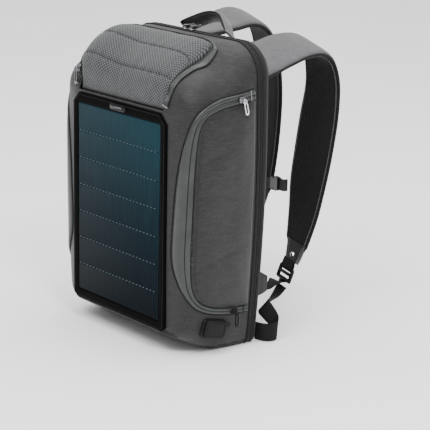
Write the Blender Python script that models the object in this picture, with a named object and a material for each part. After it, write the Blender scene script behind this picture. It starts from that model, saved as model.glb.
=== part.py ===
"""Solar backpack: rigid solar front, hood pocket, two side pockets, clamshell back with two shoulder straps.

Metres, +Z up. The solar panel faces -Y, the back panel and straps face +Y.
The bag stands on the flat underside of its base at Z = 0.
"""

import math

import bmesh
import bpy
from mathutils import Matrix, Vector

# ---------------------------------------------------------------- driving dimensions
GAP = 0.0004            # clearance between touching pieces
WALL = 0.0024           # fabric, foam and lining of the main shell
HALF_W = 0.158          # half of the widest body width, 316 mm
FRONT_Y = -0.0770       # face that carries the solar panel
REAR_Y = 0.0560         # rear rim of the main shell
TAPE_Y = 0.0655         # rear edge of the main zip tape
TRAY_Y = 0.0662         # front edge of the back panel tray
LEAN = 0.0105           # forward lean of the front face per metre of height

FRAME_HW = 0.1145       # solar frame half width
FRAME_Z0, FRAME_Z1 = 0.0355, 0.3605
CELL_HW = 0.1010        # half width of a cell row
CELL_Z0, CELL_Z1 = 0.0506, 0.3444
CELL_ROWS = 7

HOOD_HW = 0.1030        # hood panel half width
POCKET_Y0, POCKET_Y1 = -0.0600, 0.0505
STRAP_T = 0.010

# name, base colour, roughness, metallic
PALETTE = {
    "shell_fabric": ((0.135, 0.127, 0.135), 0.85, 0.0),
    "hood_mesh": ((0.115, 0.125, 0.125), 0.7, 0.0),
    "zip_tape": ((0.10, 0.12, 0.118), 0.45, 0.0),
    "black_fabric": ((0.014, 0.014, 0.015), 0.85, 0.0),
    "solar_cell": ((0.010, 0.030, 0.050), 0.30, 0.1),
    "solar_frame": ((0.012, 0.010, 0.010), 0.45, 0.0),
    "plastic": ((0.012, 0.012, 0.012), 0.4, 0.0),
    "rubber": ((0.055, 0.055, 0.055), 0.55, 0.0),
    "metal": ((0.70, 0.70, 0.70), 0.2, 1.0),
    "webbing": ((0.016, 0.016, 0.016), 0.8, 0.0),
    "leatherette": ((0.045, 0.045, 0.048), 0.5, 0.0),
    "foam_mesh": ((0.018, 0.018, 0.019), 0.9, 0.0),
    "lining": ((0.05, 0.05, 0.055), 0.8, 0.0),
    "board": ((0.03, 0.03, 0.03), 0.6, 0.0),
}


# ---------------------------------------------------------------- scene helpers
def clear_scene():
    for obj in list(bpy.data.objects):
        bpy.data.objects.remove(obj, do_unlink=True)


MATERIALS = {}


def material(key):
    if key not in MATERIALS:
        colour, rough, metal = PALETTE[key]
        mat = bpy.data.materials.new(key)
        mat.use_nodes = True
        shader = mat.node_tree.nodes["Principled BSDF"]
        shader.inputs["Base Color"].default_value = (*colour, 1)
        shader.inputs["Roughness"].default_value = rough
        shader.inputs["Metallic"].default_value = metal
        mat.diffuse_color = (*colour, 1)
        MATERIALS[key] = mat
    return MATERIALS[key]


def signed_volume(verts, faces):
    total = 0.0
    for face in faces:
        a = verts[face[0]]
        for i in range(1, len(face) - 1):
            total += a.dot(verts[face[i]].cross(verts[face[i + 1]]))
    return total


def add(name, verts, faces, mat, origin=(0, 0, 0)):
    """An object from points in world coordinates, its own origin where asked, faces turned outwards."""
    verts = [Vector(v) for v in verts]
    if signed_volume(verts, faces) < 0:
        faces = [tuple(reversed(f)) for f in faces]
    origin = Vector(origin)
    mesh = bpy.data.meshes.new(name)
    mesh.from_pydata([v - origin for v in verts], [], faces)
    mesh.update()
    mesh.materials.append(material(mat))
    mesh.shade_smooth()
    mesh.set_sharp_from_angle(angle=math.radians(35))
    obj = bpy.data.objects.new(name, mesh)
    obj.location = origin
    bpy.context.scene.collection.objects.link(obj)
    return obj


def guide(name, verts, faces):
    obj = add(name, verts, faces, "board")
    obj.hide_render = True
    obj.display_type = "WIRE"
    return obj


def cut(obj, cutter):
    mod = obj.modifiers.new("cut", "BOOLEAN")
    mod.operation = "DIFFERENCE"
    mod.object = cutter
    return obj


def bevel(obj, width, segments=1, angle=30):
    mod = obj.modifiers.new("bevel", "BEVEL")
    mod.width = width
    mod.segments = segments
    mod.limit_method = "ANGLE"
    mod.angle_limit = math.radians(angle)
    return obj


def mirror_points(points):
    return [(-p[0], p[1], p[2]) for p in points]


def slab_geometry(outer, inner):
    """A closed plate between two matching grids of points."""
    rows, cols = len(outer), len(outer[0])
    verts = [p for row in outer for p in row] + [p for row in inner for p in row]
    n = rows * cols

    def at(i, j, k=0):
        return k * n + i * cols + j

    faces = []
    for i in range(rows - 1):
        for j in range(cols - 1):
            faces.append((at(i, j), at(i, j + 1), at(i + 1, j + 1), at(i + 1, j)))
            faces.append((at(i, j, 1), at(i + 1, j, 1), at(i + 1, j + 1, 1), at(i, j + 1, 1)))
    for i in range(rows - 1):
        faces.append((at(i, 0), at(i + 1, 0), at(i + 1, 0, 1), at(i, 0, 1)))
        faces.append((at(i, cols - 1), at(i, cols - 1, 1), at(i + 1, cols - 1, 1), at(i + 1, cols - 1)))
    for j in range(cols - 1):
        faces.append((at(0, j), at(0, j, 1), at(0, j + 1, 1), at(0, j + 1)))
        faces.append((at(rows - 1, j), at(rows - 1, j + 1), at(rows - 1, j + 1, 1), at(rows - 1, j, 1)))
    return verts, faces


def tube_geometry(loops, closed=False, caps=True):
    """A skin through matching loops of points; capped at both ends, or joined end to end."""
    count = len(loops[0])
    verts = [p for loop in loops for p in loop]
    faces = []
    last = len(loops) if closed else len(loops) - 1
    for i in range(last):
        a, b = i * count, ((i + 1) % len(loops)) * count
        for j in range(count):
            k = (j + 1) % count
            faces.append((a + j, a + k, b + k, b + j))
    if not closed and caps:
        faces.append(tuple(reversed(range(count))))
        faces.append(tuple(range((len(loops) - 1) * count, len(loops) * count)))
    return verts, faces


def extrude_geometry(outline, depth_a, depth_b, place):
    """A flat outline given as (u, v), thickened from depth_a to depth_b; place(u, v, d) gives the point."""
    loops = [[place(u, v, d) for u, v in outline] for d in (depth_a, depth_b)]
    return tube_geometry(loops)


def rounded_rect(u0, u1, v0, v1, r, seg=3):
    points = []
    for cu, cv, start in ((u1 - r, v0 + r, -90), (u1 - r, v1 - r, 0), (u0 + r, v1 - r, 90), (u0 + r, v0 + r, 180)):
        for i in range(seg + 1):
            a = math.radians(start + 90 * i / seg)
            points.append((cu + r * math.cos(a), cv + r * math.sin(a)))
    return points


def box(name, x0, x1, y0, y1, z0, z1, mat, chamfer=0.0, origin=None):
    verts = [(x, y, z) for x in (x0, x1) for y in (y0, y1) for z in (z0, z1)]
    faces = [(0, 1, 3, 2), (4, 6, 7, 5), (0, 4, 5, 1), (2, 3, 7, 6), (0, 2, 6, 4), (1, 5, 7, 3)]
    obj = add(name, verts, faces, mat, origin or ((x0 + x1) / 2, (y0 + y1) / 2, (z0 + z1) / 2))
    if chamfer:
        bevel(obj, chamfer)
    return obj


def cylinder(name, centre, axis, radius, length, mat, sides=16, origin=None):
    axis = Vector(axis).normalized()
    side = axis.orthogonal().normalized()
    up = axis.cross(side)
    centre = Vector(centre)
    loops = []
    for end in (-0.5, 0.5):
        loops.append([
            tuple(centre + axis * (end * length) + side * (radius * math.cos(2 * math.pi * i / sides)) + up * (radius * math.sin(2 * math.pi * i / sides)))
            for i in range(sides)
        ])
    verts, faces = tube_geometry(loops)
    return add(name, verts, faces, mat, origin or centre)


def lerp(a, b, t):
    return a + (b - a) * t


def smooth(t):
    t = min(1.0, max(0.0, t))
    return t * t * (3 - 2 * t)


def read(table, x, column):
    """Linear reading of a table of rows whose first entry grows."""
    if x <= table[0][0]:
        return table[0][column]
    for a, b in zip(table, table[1:]):
        if x <= b[0]:
            return lerp(a[column], b[column], (x - a[0]) / (b[0] - a[0]))
    return table[-1][column]


def catmull(points, per_span):
    """A smooth curve through the points."""
    pts = [Vector(p) for p in points]
    pts = [pts[0] * 2 - pts[1]] + pts + [pts[-1] * 2 - pts[-2]]
    out = []
    for i in range(1, len(pts) - 2):
        p0, p1, p2, p3 = pts[i - 1: i + 3]
        for k in range(per_span):
            t = k / per_span
            out.append(0.5 * ((2 * p1) + (p2 - p0) * t + (2 * p0 - 5 * p1 + 4 * p2 - p3) * t ** 2 + (3 * p1 - p0 - 3 * p2 + p3) * t ** 3))
    out.append(pts[-2])
    return out


# ---------------------------------------------------------------- the body's shape
# Sections of the body seen from the front, at stations along its depth:
# y, half width, top height, top corner radius, underside height, bottom corner radius
STATIONS = (
    (-0.0770, 0.1170, 0.3660, 0.016, 0.0330, 0.012),
    (-0.0745, 0.1270, 0.3730, 0.020, 0.0305, 0.016),
    (-0.0710, 0.1390, 0.3840, 0.026, 0.0285, 0.022),
    (-0.0660, 0.1480, 0.3970, 0.034, 0.0260, 0.028),
    (-0.0570, 0.1535, 0.4065, 0.040, 0.0225, 0.030),
    (-0.0450, 0.1560, 0.4140, 0.045, 0.0175, 0.028),
    (-0.0300, 0.1575, 0.4220, 0.055, 0.0110, 0.026),
    (-0.0120, 0.1580, 0.4300, 0.070, 0.0038, 0.024),
    (0.0000, 0.1580, 0.4400, 0.075, 0.0000, 0.022),
    (0.0110, 0.1580, 0.4500, 0.080, 0.0000, 0.020),
    (0.0170, 0.1580, 0.4540, 0.078, 0.0000, 0.018),
    (0.0350, 0.1572, 0.4545, 0.062, 0.0000, 0.014),
    (0.0560, 0.1562, 0.4535, 0.050, 0.0000, 0.012),
)
WIDEST_Z = 0.24
TAPER = 0.20


def section(y):
    return [read(STATIONS, y, c) for c in range(1, 6)]


def wall_x(hw, z):
    return hw - TAPER * (z - WIDEST_Z) ** 2


def ring(y, inset=0.0):
    """The body's section at y as a loop of (x, z), from the middle of the underside round by +X."""
    hw, zt, rt, zb, rb = section(y)
    zt, zb = zt - inset, zb + inset
    rt, rb = max(rt - inset, 0.004), max(rb - inset, 0.004)
    half = []
    cb = wall_x(hw, zb + rb) - inset - rb
    for i in range(3):
        half.append((cb * i / 3, zb))
    for i in range(4):
        a = math.radians(-90 + 90 * i / 4)
        half.append((cb + rb * math.cos(a), zb + rb + rb * math.sin(a)))
    for i in range(8):
        z = lerp(zb + rb, zt - rt, i / 8)
        half.append((wall_x(hw, z) - inset, z))
    ct = wall_x(hw, zt - rt) - inset - rt
    for i in range(6):
        a = math.radians(90 * i / 6)
        half.append((ct + rt * math.cos(a), zt - rt + rt * math.sin(a)))
    for i in range(4):
        half.append((ct * (1 - i / 4), zt))
    half.append((0.0, zt))
    return half + [(-x, z) for x, z in reversed(half[1:-1])]


def side_x(y, z):
    """Half width of the body at depth y and height z."""
    hw, zt, rt, zb, rb = section(y)
    if z > zt - rt:
        ct = wall_x(hw, zt - rt) - rt
        return ct + math.sqrt(max(0.0, rt ** 2 - (z - zt + rt) ** 2))
    if z < zb + rb:
        cb = wall_x(hw, zb + rb) - rb
        return cb + math.sqrt(max(0.0, rb ** 2 - (zb + rb - z) ** 2))
    return wall_x(hw, z)


def top_z(x, y):
    """Height of the body's top at x and y."""
    hw, zt, rt, _, _ = section(y)
    ct = wall_x(hw, zt - rt) - rt
    if abs(x) <= ct:
        return zt
    return zt - rt + math.sqrt(max(0.0, rt ** 2 - (abs(x) - ct) ** 2))


def side_lift(y, z, clear):
    """How far outwards in X a point must go to stand clear of the side wall by clear, measured square to it."""
    slope = (side_x(y + 0.0008, z) - side_x(y - 0.0008, z)) / 0.0016
    rise = (side_x(y, z + 0.0008) - side_x(y, z - 0.0008)) / 0.0016
    return clear * math.sqrt(1 + slope ** 2 + rise ** 2)


def top_at(x, y):
    """Height of the leaning body's top above a point on the ground."""
    z = top_z(x, y)
    for _ in range(4):
        z = top_z(x, y + LEAN * (z - 0.20) * min(1.0, max(0.0, -y / 0.077)))
    return z


def top_lift(x, y, clear):
    """How far up a point must go to stand clear of the body's top by clear, measured square to it."""
    slope = (top_at(x, y + 0.0008) - top_at(x, y - 0.0008)) / 0.0016
    rise = (top_at(x + 0.0008, y) - top_at(x - 0.0008, y)) / 0.0016
    return clear * math.sqrt(1 + slope ** 2 + rise ** 2)


def lean_y(y, z):
    """The front face leans: it comes forward towards its foot."""
    return y - LEAN * (0.20 - z) * min(1.0, max(0.0, -y / 0.077)) * -1.0


def body_point(x, y, z):
    return (x, lean_y(y, z), z)


def front_place(x, z, d):
    """A point on the solar face, d in front of it."""
    return (x, lean_y(FRONT_Y, z) - d, z)


# ---------------------------------------------------------------- main shell
def make_shell():
    ys = [s[0] for s in reversed(STATIONS)]
    outer = [[body_point(x, y, z) for x, z in ring(y)] for y in ys]
    inner = []
    for y in ys:
        yi = max(y, FRONT_Y + WALL)
        inner.append([body_point(x, yi, z) for x, z in ring(y, WALL)])
    count = len(outer[0])
    verts = [p for loop in outer for p in loop] + [p for loop in inner for p in loop]
    half = len(ys) * count
    faces = []
    for i in range(len(ys) - 1):
        for j in range(count):
            k = (j + 1) % count
            faces.append((i * count + j, i * count + k, (i + 1) * count + k, (i + 1) * count + j))
            faces.append((half + i * count + j, half + (i + 1) * count + j, half + (i + 1) * count + k, half + i * count + k))
    for j in range(count):
        k = (j + 1) % count
        faces.append((j, half + j, half + k, k))
    last = (len(ys) - 1) * count
    faces.append(tuple(last + j for j in range(count)))
    faces.append(tuple(half + last + j for j in reversed(range(count))))
    shell = add("main_shell", verts, faces, "shell_fabric", (0, 0, 0))

    # mouth of the hood pocket
    mouth_w = HOOD_HW + 0.0007
    profile = [(-0.0900, 0.3642), (-0.0900, 0.4700), (0.0116, 0.4700), (0.0116, 0.4280), (-0.0100, 0.4120), (-0.0340, 0.4040), (-0.0540, 0.3900), (-0.0630, 0.3642)]
    mouth = guide("hood_mouth_cutter", *tube_geometry([[(x, y, z) for y, z in profile] for x in (-mouth_w, mouth_w)]))
    cut(shell, mouth)
    for s, name in ((1, "right"), (-1, "left")):
        cut(shell, pocket_cutter(s, name))
    usb = box("usb_hole_cutter", 0.120, 0.175, USB_C[0] - 0.0085, USB_C[0] + 0.0085, USB_C[1] - 0.0055, USB_C[1] + 0.0055, "board")
    usb.hide_render, usb.display_type = True, "WIRE"
    cut(shell, usb)
    lead = cylinder("lead_hole_cutter", (0.0, -0.078, 0.13), (0, 1, 0), 0.0045, 0.02, "board", 12)
    lead.hide_render, lead.display_type = True, "WIRE"
    cut(shell, lead)
    return shell


# ---------------------------------------------------------------- side pockets
def pocket_bottom(y):
    return lerp(0.0740, 0.0645, (y + 0.060) / 0.11)


def pocket_top(y):
    return lerp(0.3640, 0.3770, (y + 0.060) / 0.11)


def pocket_grid(grow, lift, cols=9, rows=13, radius=0.026):
    """Points over a side pocket's outline on the right wall, grown by grow and lifted outwards by lift."""
    y0, y1 = POCKET_Y0 - grow, POCKET_Y1 + grow
    r = radius + grow
    grid = []
    steps = [0.0, 0.15, 0.4, 0.7, 1.0]
    ys = [y0 + r * (1 - math.cos(math.pi / 2 * t)) for t in steps]
    extra = cols - len(ys)
    ys += [lerp(y0 + r, y1, (i + 1) / extra) for i in range(extra)]
    for y in ys:
        d = max(0.0, (y0 + r - y) / r)
        drop = r * (1 - math.sqrt(max(0.0, 1 - d * d)))
        za, zb = pocket_bottom(y) - grow + drop, pocket_top(y) + grow - drop
        row = []
        for j in range(rows):
            z = lerp(za, zb, j / (rows - 1))
            row.append(body_point(side_x(y, z) + lift, y, z))
        grid.append(row)
    return grid


def pocket_cutter(s, name):
    outer, inner = pocket_grid(0.0008, 0.012), pocket_grid(0.0008, -0.012)
    if s < 0:
        outer, inner = [mirror_points(r) for r in outer], [mirror_points(r) for r in inner]
    return guide(f"side_pocket_{name}_cutter", *slab_geometry(outer, inner))


def make_side_pocket(s, name):
    def sided(grid):
        return grid if s > 0 else [mirror_points(r) for r in grid]

    hinge_y = POCKET_Y1 + 0.0004
    hinge = (s * (side_x(hinge_y, 0.22) + 0.0020), hinge_y, 0.0)
    outer, inner = pocket_grid(-0.0004, 0.0010), pocket_grid(-0.0004, -0.0012)
    flap = add(f"side_flap_{name}", *slab_geometry(sided(outer), sided(inner)), "shell_fabric", hinge)

    # zip tape: a C-shaped band on the wall round the flap's top, front and bottom edges
    y0, y1 = POCKET_Y0, POCKET_Y1
    path = []
    r = 0.026
    for i in range(6):
        y = lerp(y1 - 0.004, y0 + r, i / 5)
        path.append((y, pocket_top(y), (0, 1)))
    for i in range(1, 6):
        a = math.pi / 2 * i / 5
        path.append((y0 + r - r * math.sin(a), pocket_top(y0 + r) - r * (1 - math.cos(a)), (-math.sin(a), math.cos(a))))
    z_hi, z_lo = pocket_top(y0) - r, pocket_bottom(y0) + r
    for i in range(1, 12):
        path.append((y0, lerp(z_hi, z_lo, i / 12), (-1, 0)))
    for i in range(6):
        a = math.pi / 2 * i / 5
        path.append((y0 + r - r * math.cos(a), pocket_bottom(y0 + r) + r * (1 - math.sin(a)), (-math.cos(a), -math.sin(a))))
    for i in range(1, 6):
        y = lerp(y0 + r, y1 - 0.004, i / 5)
        path.append((y, pocket_bottom(y), (0, -1)))
    rows_out, rows_in = [], []
    for y, z, n in path:
        line_out, line_in = [], []
        wide = lerp(0.0070, 0.0120, smooth((n[1] + 1) / 0.8))
        for w in (0.0016, lerp(0.0016, wide, 0.5), wide):
            yy, zz = y + n[0] * w, z + n[1] * w
            base = side_x(yy, zz)
            line_in.append(body_point(base + side_lift(yy, zz, 0.0016), yy, zz))
            line_out.append(body_point(base + side_lift(yy, zz, 0.0028), yy, zz))
        rows_out.append(line_out)
        rows_in.append(line_in)
    add(f"side_zip_tape_{name}", *slab_geometry(sided(rows_out), sided(rows_in)), "zip_tape", hinge)

    # pouch inside the wall: an open tray whose mouth is the pocket opening
    x_in, x_out = 0.1180, 0.1480
    wall = 0.0015
    outline = rounded_rect(-0.0500, 0.0400, 0.0780, 0.3540, 0.012, 3)
    inside = rounded_rect(-0.0500 + wall, 0.0400 - wall, 0.0780 + wall, 0.3540 - wall, 0.0105, 3)
    loops = [
        [(s * x_out, y, z) for y, z in inside], [(s * (x_in + wall), y, z) for y, z in inside],
    ]
    outer_loops = [[(s * x_in, y, z) for y, z in outline], [(s * x_out, y, z) for y, z in outline]]
    n = len(outline)
    verts = outer_loops[0] + outer_loops[1] + loops[0] + loops[1]
    faces = [tuple(range(n)), tuple(reversed(range(3 * n, 4 * n)))]
    for a, b in ((0, n), (n, 2 * n), (2 * n, 3 * n)):
        for j in range(n):
            k = (j + 1) % n
            faces.append((a + k, a + j, b + j, b + k))
    add(f"side_pouch_{name}", verts, faces, "lining")
    return hinge


# ---------------------------------------------------------------- zip sliders and their pulls
def make_slider(name, at, along, out, length=0.0115, width=0.0085, height=0.0044):
    """A zip slider's body: a wedge-ended block along the track with a bridge for its pull."""
    at, along, out = Vector(at), Vector(along).normalized(), Vector(out).normalized()
    side = along.cross(out).normalized()
    profile = [(-0.5, 0.0), (-0.5, 0.42), (-0.30, 0.55), (-0.26, 1.0), (0.22, 1.0), (0.26, 0.55), (0.5, 0.42), (0.5, 0.0)]
    loops = []
    for s, taper in ((-0.5, 0.82), (-0.32, 1.0), (0.32, 1.0), (0.5, 0.82)):
        loops.append([tuple(at + along * (u * length * taper) + out * (v * height * (0.8 if taper < 1 else 1.0)) + side * (s * width)) for u, v in profile])
    return add(name, *tube_geometry(loops), "metal", at)


def make_pull(name, pivot, down, across, length=0.021, width=0.0062, thick=0.0016):
    """A zip pull hanging from its pivot: a ring round the bridge and a slotted finger tab."""
    pivot, down, across = Vector(pivot), Vector(down).normalized(), Vector(across).normalized()
    normal = down.cross(across).normalized()
    outline = [(-0.35, 0.0), (-0.5, 0.18), (-0.5, 0.90), (-0.3, 1.0), (0.3, 1.0), (0.5, 0.90), (0.5, 0.18), (0.35, 0.0)]
    hole = [(-0.22, 0.14), (-0.26, 0.30), (-0.26, 0.72), (-0.18, 0.80), (0.18, 0.80), (0.26, 0.72), (0.26, 0.30), (0.22, 0.14)]
    loops = []
    for shape, d in ((outline, -0.5), (outline, 0.5), (hole, 0.5), (hole, -0.5)):
        loops.append([tuple(pivot + across * (u * width) + down * (v * length + 0.0004) + normal * (d * thick)) for u, v in shape])
    return add(name, *tube_geometry(loops, closed=True), "metal", pivot)


def zip_pair(name, at, along, out, down, across):
    """A slider and the pull that hangs from it."""
    out = Vector(out).normalized()
    make_slider(f"{name}_slider", at, along, out)
    pivot = Vector(at) + out * 0.0066
    make_pull(f"{name}_pull", pivot, down, across)
    return pivot


def make_zips():
    for s, side in ((1, "right"), (-1, "left")):
        for end, y, edge in (("top", 0.0220, pocket_top), ("bottom", 0.0220, pocket_bottom)):
            sign = 1 if end == "top" else -1
            z = edge(y) + sign * 0.0058
            x = side_x(y, z) + 0.0036
            along = Vector((side_x(y + 0.008, z) - side_x(y - 0.008, z), 0.016, edge(y + 0.008) - edge(y - 0.008)))
            along.x *= s
            zip_pair(f"side_{side}_{end}", (s * x, y, z), along, (s, 0, 0), (0, 0, -1), (0, 1, 0))
    # hood zip at its left end
    y, z = read(HOOD_SIDE, 0.17, 1) - 0.0010, read(HOOD_SIDE, 0.17, 2)
    x = -0.1100
    z = top_at(x, y) + 0.0080
    zip_pair("hood", (x, y - 0.0028, z), (0, 0.25, 0.97), (0, -0.97, 0.25), (0, 0, -1), (1, 0, 0))
    # main zip: two sliders that meet on top beside the carry handle
    for name, x in (("main_left", -0.0270), ("main_right", -0.0110)):
        zip_pair(name, (x, 0.5 * (REAR_Y + TAPE_Y), top_z(x, REAR_Y) + 0.0006), (1, 0, 0), (0, 0, 1), (0, 1, 0), (1, 0, 0))


# ---------------------------------------------------------------- hood pocket
HOOD_MID = (
    (0.00, -0.0728, 0.3650), (0.10, -0.0732, 0.3770), (0.22, -0.0718, 0.3930), (0.34, -0.0660, 0.4080),
    (0.46, -0.0530, 0.4230), (0.60, -0.0320, 0.4400), (0.76, -0.0120, 0.4505), (0.88, 0.0000, 0.4555), (1.00, 0.0105, 0.4575),
)
HOOD_SIDE = (
    (0.00, -0.0728, 0.3650), (0.10, -0.0716, 0.3755), (0.22, -0.0700, 0.3900), (0.34, -0.0655, 0.4020),
    (0.46, -0.0530, 0.4130), (0.60, -0.0340, 0.4225), (0.76, -0.0140, 0.4310), (0.88, 0.0010, 0.4420), (1.00, 0.0105, 0.4530),
)


def hood_point(u, v, depth=0.0):
    """A point on the padded hood: u runs across from -1 to 1, v from the hinge edge to the top edge."""
    grow = math.sqrt(max(0.0, 1 - abs(u) ** 8))
    y = lerp(read(HOOD_SIDE, v, 1), read(HOOD_MID, v, 1), grow)
    z = lerp(read(HOOD_SIDE, v, 2), read(HOOD_MID, v, 2), grow)
    if depth:
        angle = math.radians(lerp(5, 78, smooth(v)))
        y += depth * math.cos(angle)
        z -= depth * math.sin(angle)
    return (HOOD_HW * u, y, z)


HOOD_HINGE = (0.0, -0.0742, 0.3632)


def make_hood():
    us = [-1.0, -0.975, -0.92, -0.8, -0.5, -0.2, 0.2, 0.5, 0.8, 0.92, 0.975, 1.0]
    vs = [0, 0.05, 0.1, 0.16, 0.22, 0.28, 0.34, 0.4, 0.46, 0.53, 0.6, 0.68, 0.76, 0.82, 0.88, 0.94, 1.0]
    outer = [[hood_point(u, v) for u in us] for v in vs]
    inner = []
    for v in vs:
        row = []
        for u in us:
            x, y, z = hood_point(u, min(v, 0.97) if v > 0.02 else 0.0, 0.0)
            angle = math.radians(lerp(5, 78, smooth(v)))
            edge = 0.0022 + 0.0030 * math.sqrt(max(0.0, 1 - abs(u) ** 8)) * min(1.0, v * 5)
            row.append((x, y + edge * math.cos(angle), z - edge * math.sin(angle)))
        inner.append(row)
    add("hood_panel", *slab_geometry(outer, inner), "hood_mesh", HOOD_HINGE)

    # gusset that carries the hood's zip: from the body's top up to the hood's edge
    right = []
    for v in (0.02, 0.06, 0.10, 0.16, 0.22, 0.28, 0.34, 0.40, 0.46, 0.53, 0.60, 0.68, 0.76, 0.88):
        y = read(HOOD_SIDE, v, 1)
        z = read(HOOD_SIDE, v, 2)
        foot_x = lerp(0.1085, 0.1160, smooth(v / 0.3))
        foot_y = max(y - 0.0010, -0.0755)
        foot = [foot_x, foot_y, top_at(foot_x, foot_y) + top_lift(foot_x, foot_y, 0.0014)]
        rim = [HOOD_HW + 0.0014, y, max(z, foot[2] + 0.0012, top_at(HOOD_HW, y) + top_lift(HOOD_HW, y, 0.0014))]
        right.append((foot, rim))
    right.append(([0.1155, 0.0090, top_at(0.1155, 0.0090) + 0.0014], [0.1042, 0.0098, 0.4535]))
    right.append(([0.1120, 0.0150, top_at(0.1120, 0.0150) + 0.0016], [0.1020, 0.0120, 0.4560]))
    right.append(([0.1000, 0.0180, top_at(0.1000, 0.0180) + 0.0016], [0.0960, 0.0122, 0.4572]))
    right.append(([0.0800, 0.0182, top_at(0.0800, 0.0182) + 0.0016], [0.0800, 0.0122, 0.4582]))
    right.append(([0.0400, 0.0182, top_at(0.0400, 0.0182) + 0.0016], [0.0400, 0.0122, 0.4585]))
    full = right + [([-a[0], a[1], a[2]], [-b[0], b[1], b[2]]) for a, b in reversed(right)]
    outer, inner = [], []
    for i, (a, b) in enumerate(full):
        prev, nxt = full[max(i - 1, 0)], full[min(i + 1, len(full) - 1)]
        along = Vector(nxt[0]) - Vector(prev[0]) + Vector(nxt[1]) - Vector(prev[1])
        across = Vector(b) - Vector(a)
        normal = along.cross(across).normalized()
        if normal.z < 0:
            normal = -normal
        mid = [(a[k] + b[k]) / 2 for k in range(3)]
        mid[2] = max(mid[2], top_at(mid[0], mid[1]) + top_lift(mid[0], mid[1], 0.0015))
        row = [Vector(a), Vector(mid), Vector(b)]
        inner.append([tuple(p) for p in row])
        outer.append([tuple(p + normal * 0.0012) for p in row])
    add("hood_zip_gusset", *slab_geometry(outer, inner), "zip_tape")

    # pouch under the hood, an open tray hung inside the shell's mouth
    wall = 0.0015
    prof_out = [(-0.0560, 0.3000), (-0.0040, 0.3000), (-0.0040, 0.4180), (-0.0560, 0.3860)]
    prof_in = [(-0.0545, 0.3015), (-0.0055, 0.3015), (-0.0055, 0.4171), (-0.0545, 0.3869)]
    xo, xi = 0.0920, 0.0905
    verts, faces = [], []
    for x in (-xo, xo):
        verts += [(x, y, z) for y, z in prof_out]
    for x in (-xi, xi):
        verts += [(x, y, z) for y, z in prof_in]
    faces = [
        (0, 1, 5, 4), (1, 2, 6, 5), (3, 0, 4, 7), (0, 3, 2, 1), (4, 5, 6, 7),
        (8, 12, 13, 9), (9, 13, 14, 10), (11, 15, 12, 8), (8, 9, 10, 11), (12, 15, 14, 13),
        (2, 3, 11, 10), (3, 7, 15, 11), (7, 6, 14, 15), (6, 2, 10, 14),
    ]
    add("hood_pouch", verts, faces, "lining")


# ---------------------------------------------------------------- solar panel
def make_solar():
    def plate(name, outline, a, b, mat, origin=None):
        verts, faces = extrude_geometry(outline, a, b, front_place)
        return add(name, verts, faces, mat, origin or front_place(0, 0.2, a))

    outline = [
        (-0.0990, FRAME_Z1), (-FRAME_HW, FRAME_Z1 - 0.0150), (-FRAME_HW, FRAME_Z0 + 0.010), (-FRAME_HW + 0.003, FRAME_Z0 + 0.003),
        (-FRAME_HW + 0.010, FRAME_Z0), (FRAME_HW - 0.010, FRAME_Z0), (FRAME_HW - 0.003, FRAME_Z0 + 0.003), (FRAME_HW, FRAME_Z0 + 0.010),
        (FRAME_HW, FRAME_Z1 - 0.0150), (0.0990, FRAME_Z1),
    ]
    m = 0.0010
    hole = rounded_rect(-CELL_HW - m, CELL_HW + m, CELL_Z0 - m, CELL_Z1 + m, 0.002, 2)
    frame = plate("solar_frame", outline, GAP, 0.0034, "solar_frame")
    verts, faces = extrude_geometry(hole, -0.002, 0.006, front_place)
    cut(frame, guide("solar_window_cutter", verts, faces))
    inner = rounded_rect(-CELL_HW - m + 0.0004, CELL_HW + m - 0.0004, CELL_Z0 - m + 0.0004, CELL_Z1 + m - 0.0004, 0.0016, 2)
    board = plate("solar_backing_board", inner, GAP, 0.0012, "board")
    hole_cut = cylinder("board_hole_cutter", (0.0, -0.079, 0.13), (0, 1, 0), 0.0045, 0.004, "board", 12)
    hole_cut.location = (0.0, -0.0790, 0.13)
    hole_cut.hide_render, hole_cut.display_type = True, "WIRE"
    cut(board, hole_cut)
    # laminate: one sheet with seven raised rows of cells
    pitch = (CELL_Z1 - CELL_Z0) / CELL_ROWS
    half = CELL_HW + m - 0.0006
    low, high, back = 0.0024, 0.0031, 0.0016
    steps = [(CELL_Z0 - m + 0.0008, low)]
    for k in range(CELL_ROWS):
        z0 = CELL_Z0 + pitch * k + 0.0004
        z1 = z0 + pitch - 0.0008
        steps += [(z0, low), (z0, high), (z1, high), (z1, low)]
    steps.append((CELL_Z1 + m - 0.0008, low))
    for i in range(1, len(steps)):
        if abs(steps[i][0] - steps[i - 1][0]) < 1e-6:
            steps[i - 1 if steps[i][1] > steps[i - 1][1] else i] = (steps[i][0] - 0.0001 if steps[i][1] > steps[i - 1][1] else steps[i][0] + 0.0001, low)
    profile = [(z, d) for z, d in steps] + [(steps[-1][0], back), (steps[0][0], back)]
    add("solar_laminate", *tube_geometry([[front_place(x, z, d) for z, d in profile] for x in (-half, half)]), "solar_cell", front_place(0, 0.2, back))
    logo = rounded_rect(-0.0190, 0.0190, 0.3478, 0.3572, 0.0044, 3)
    plate("badge_plate", logo, 0.0038, 0.0052, "plastic", front_place(0, 0.3525, 0.004))


# ---------------------------------------------------------------- electronics
USB_C = (-0.0145, 0.0395)      # centre of the port on the right wall: y, z
USB_TILT = math.radians(-14)


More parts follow.
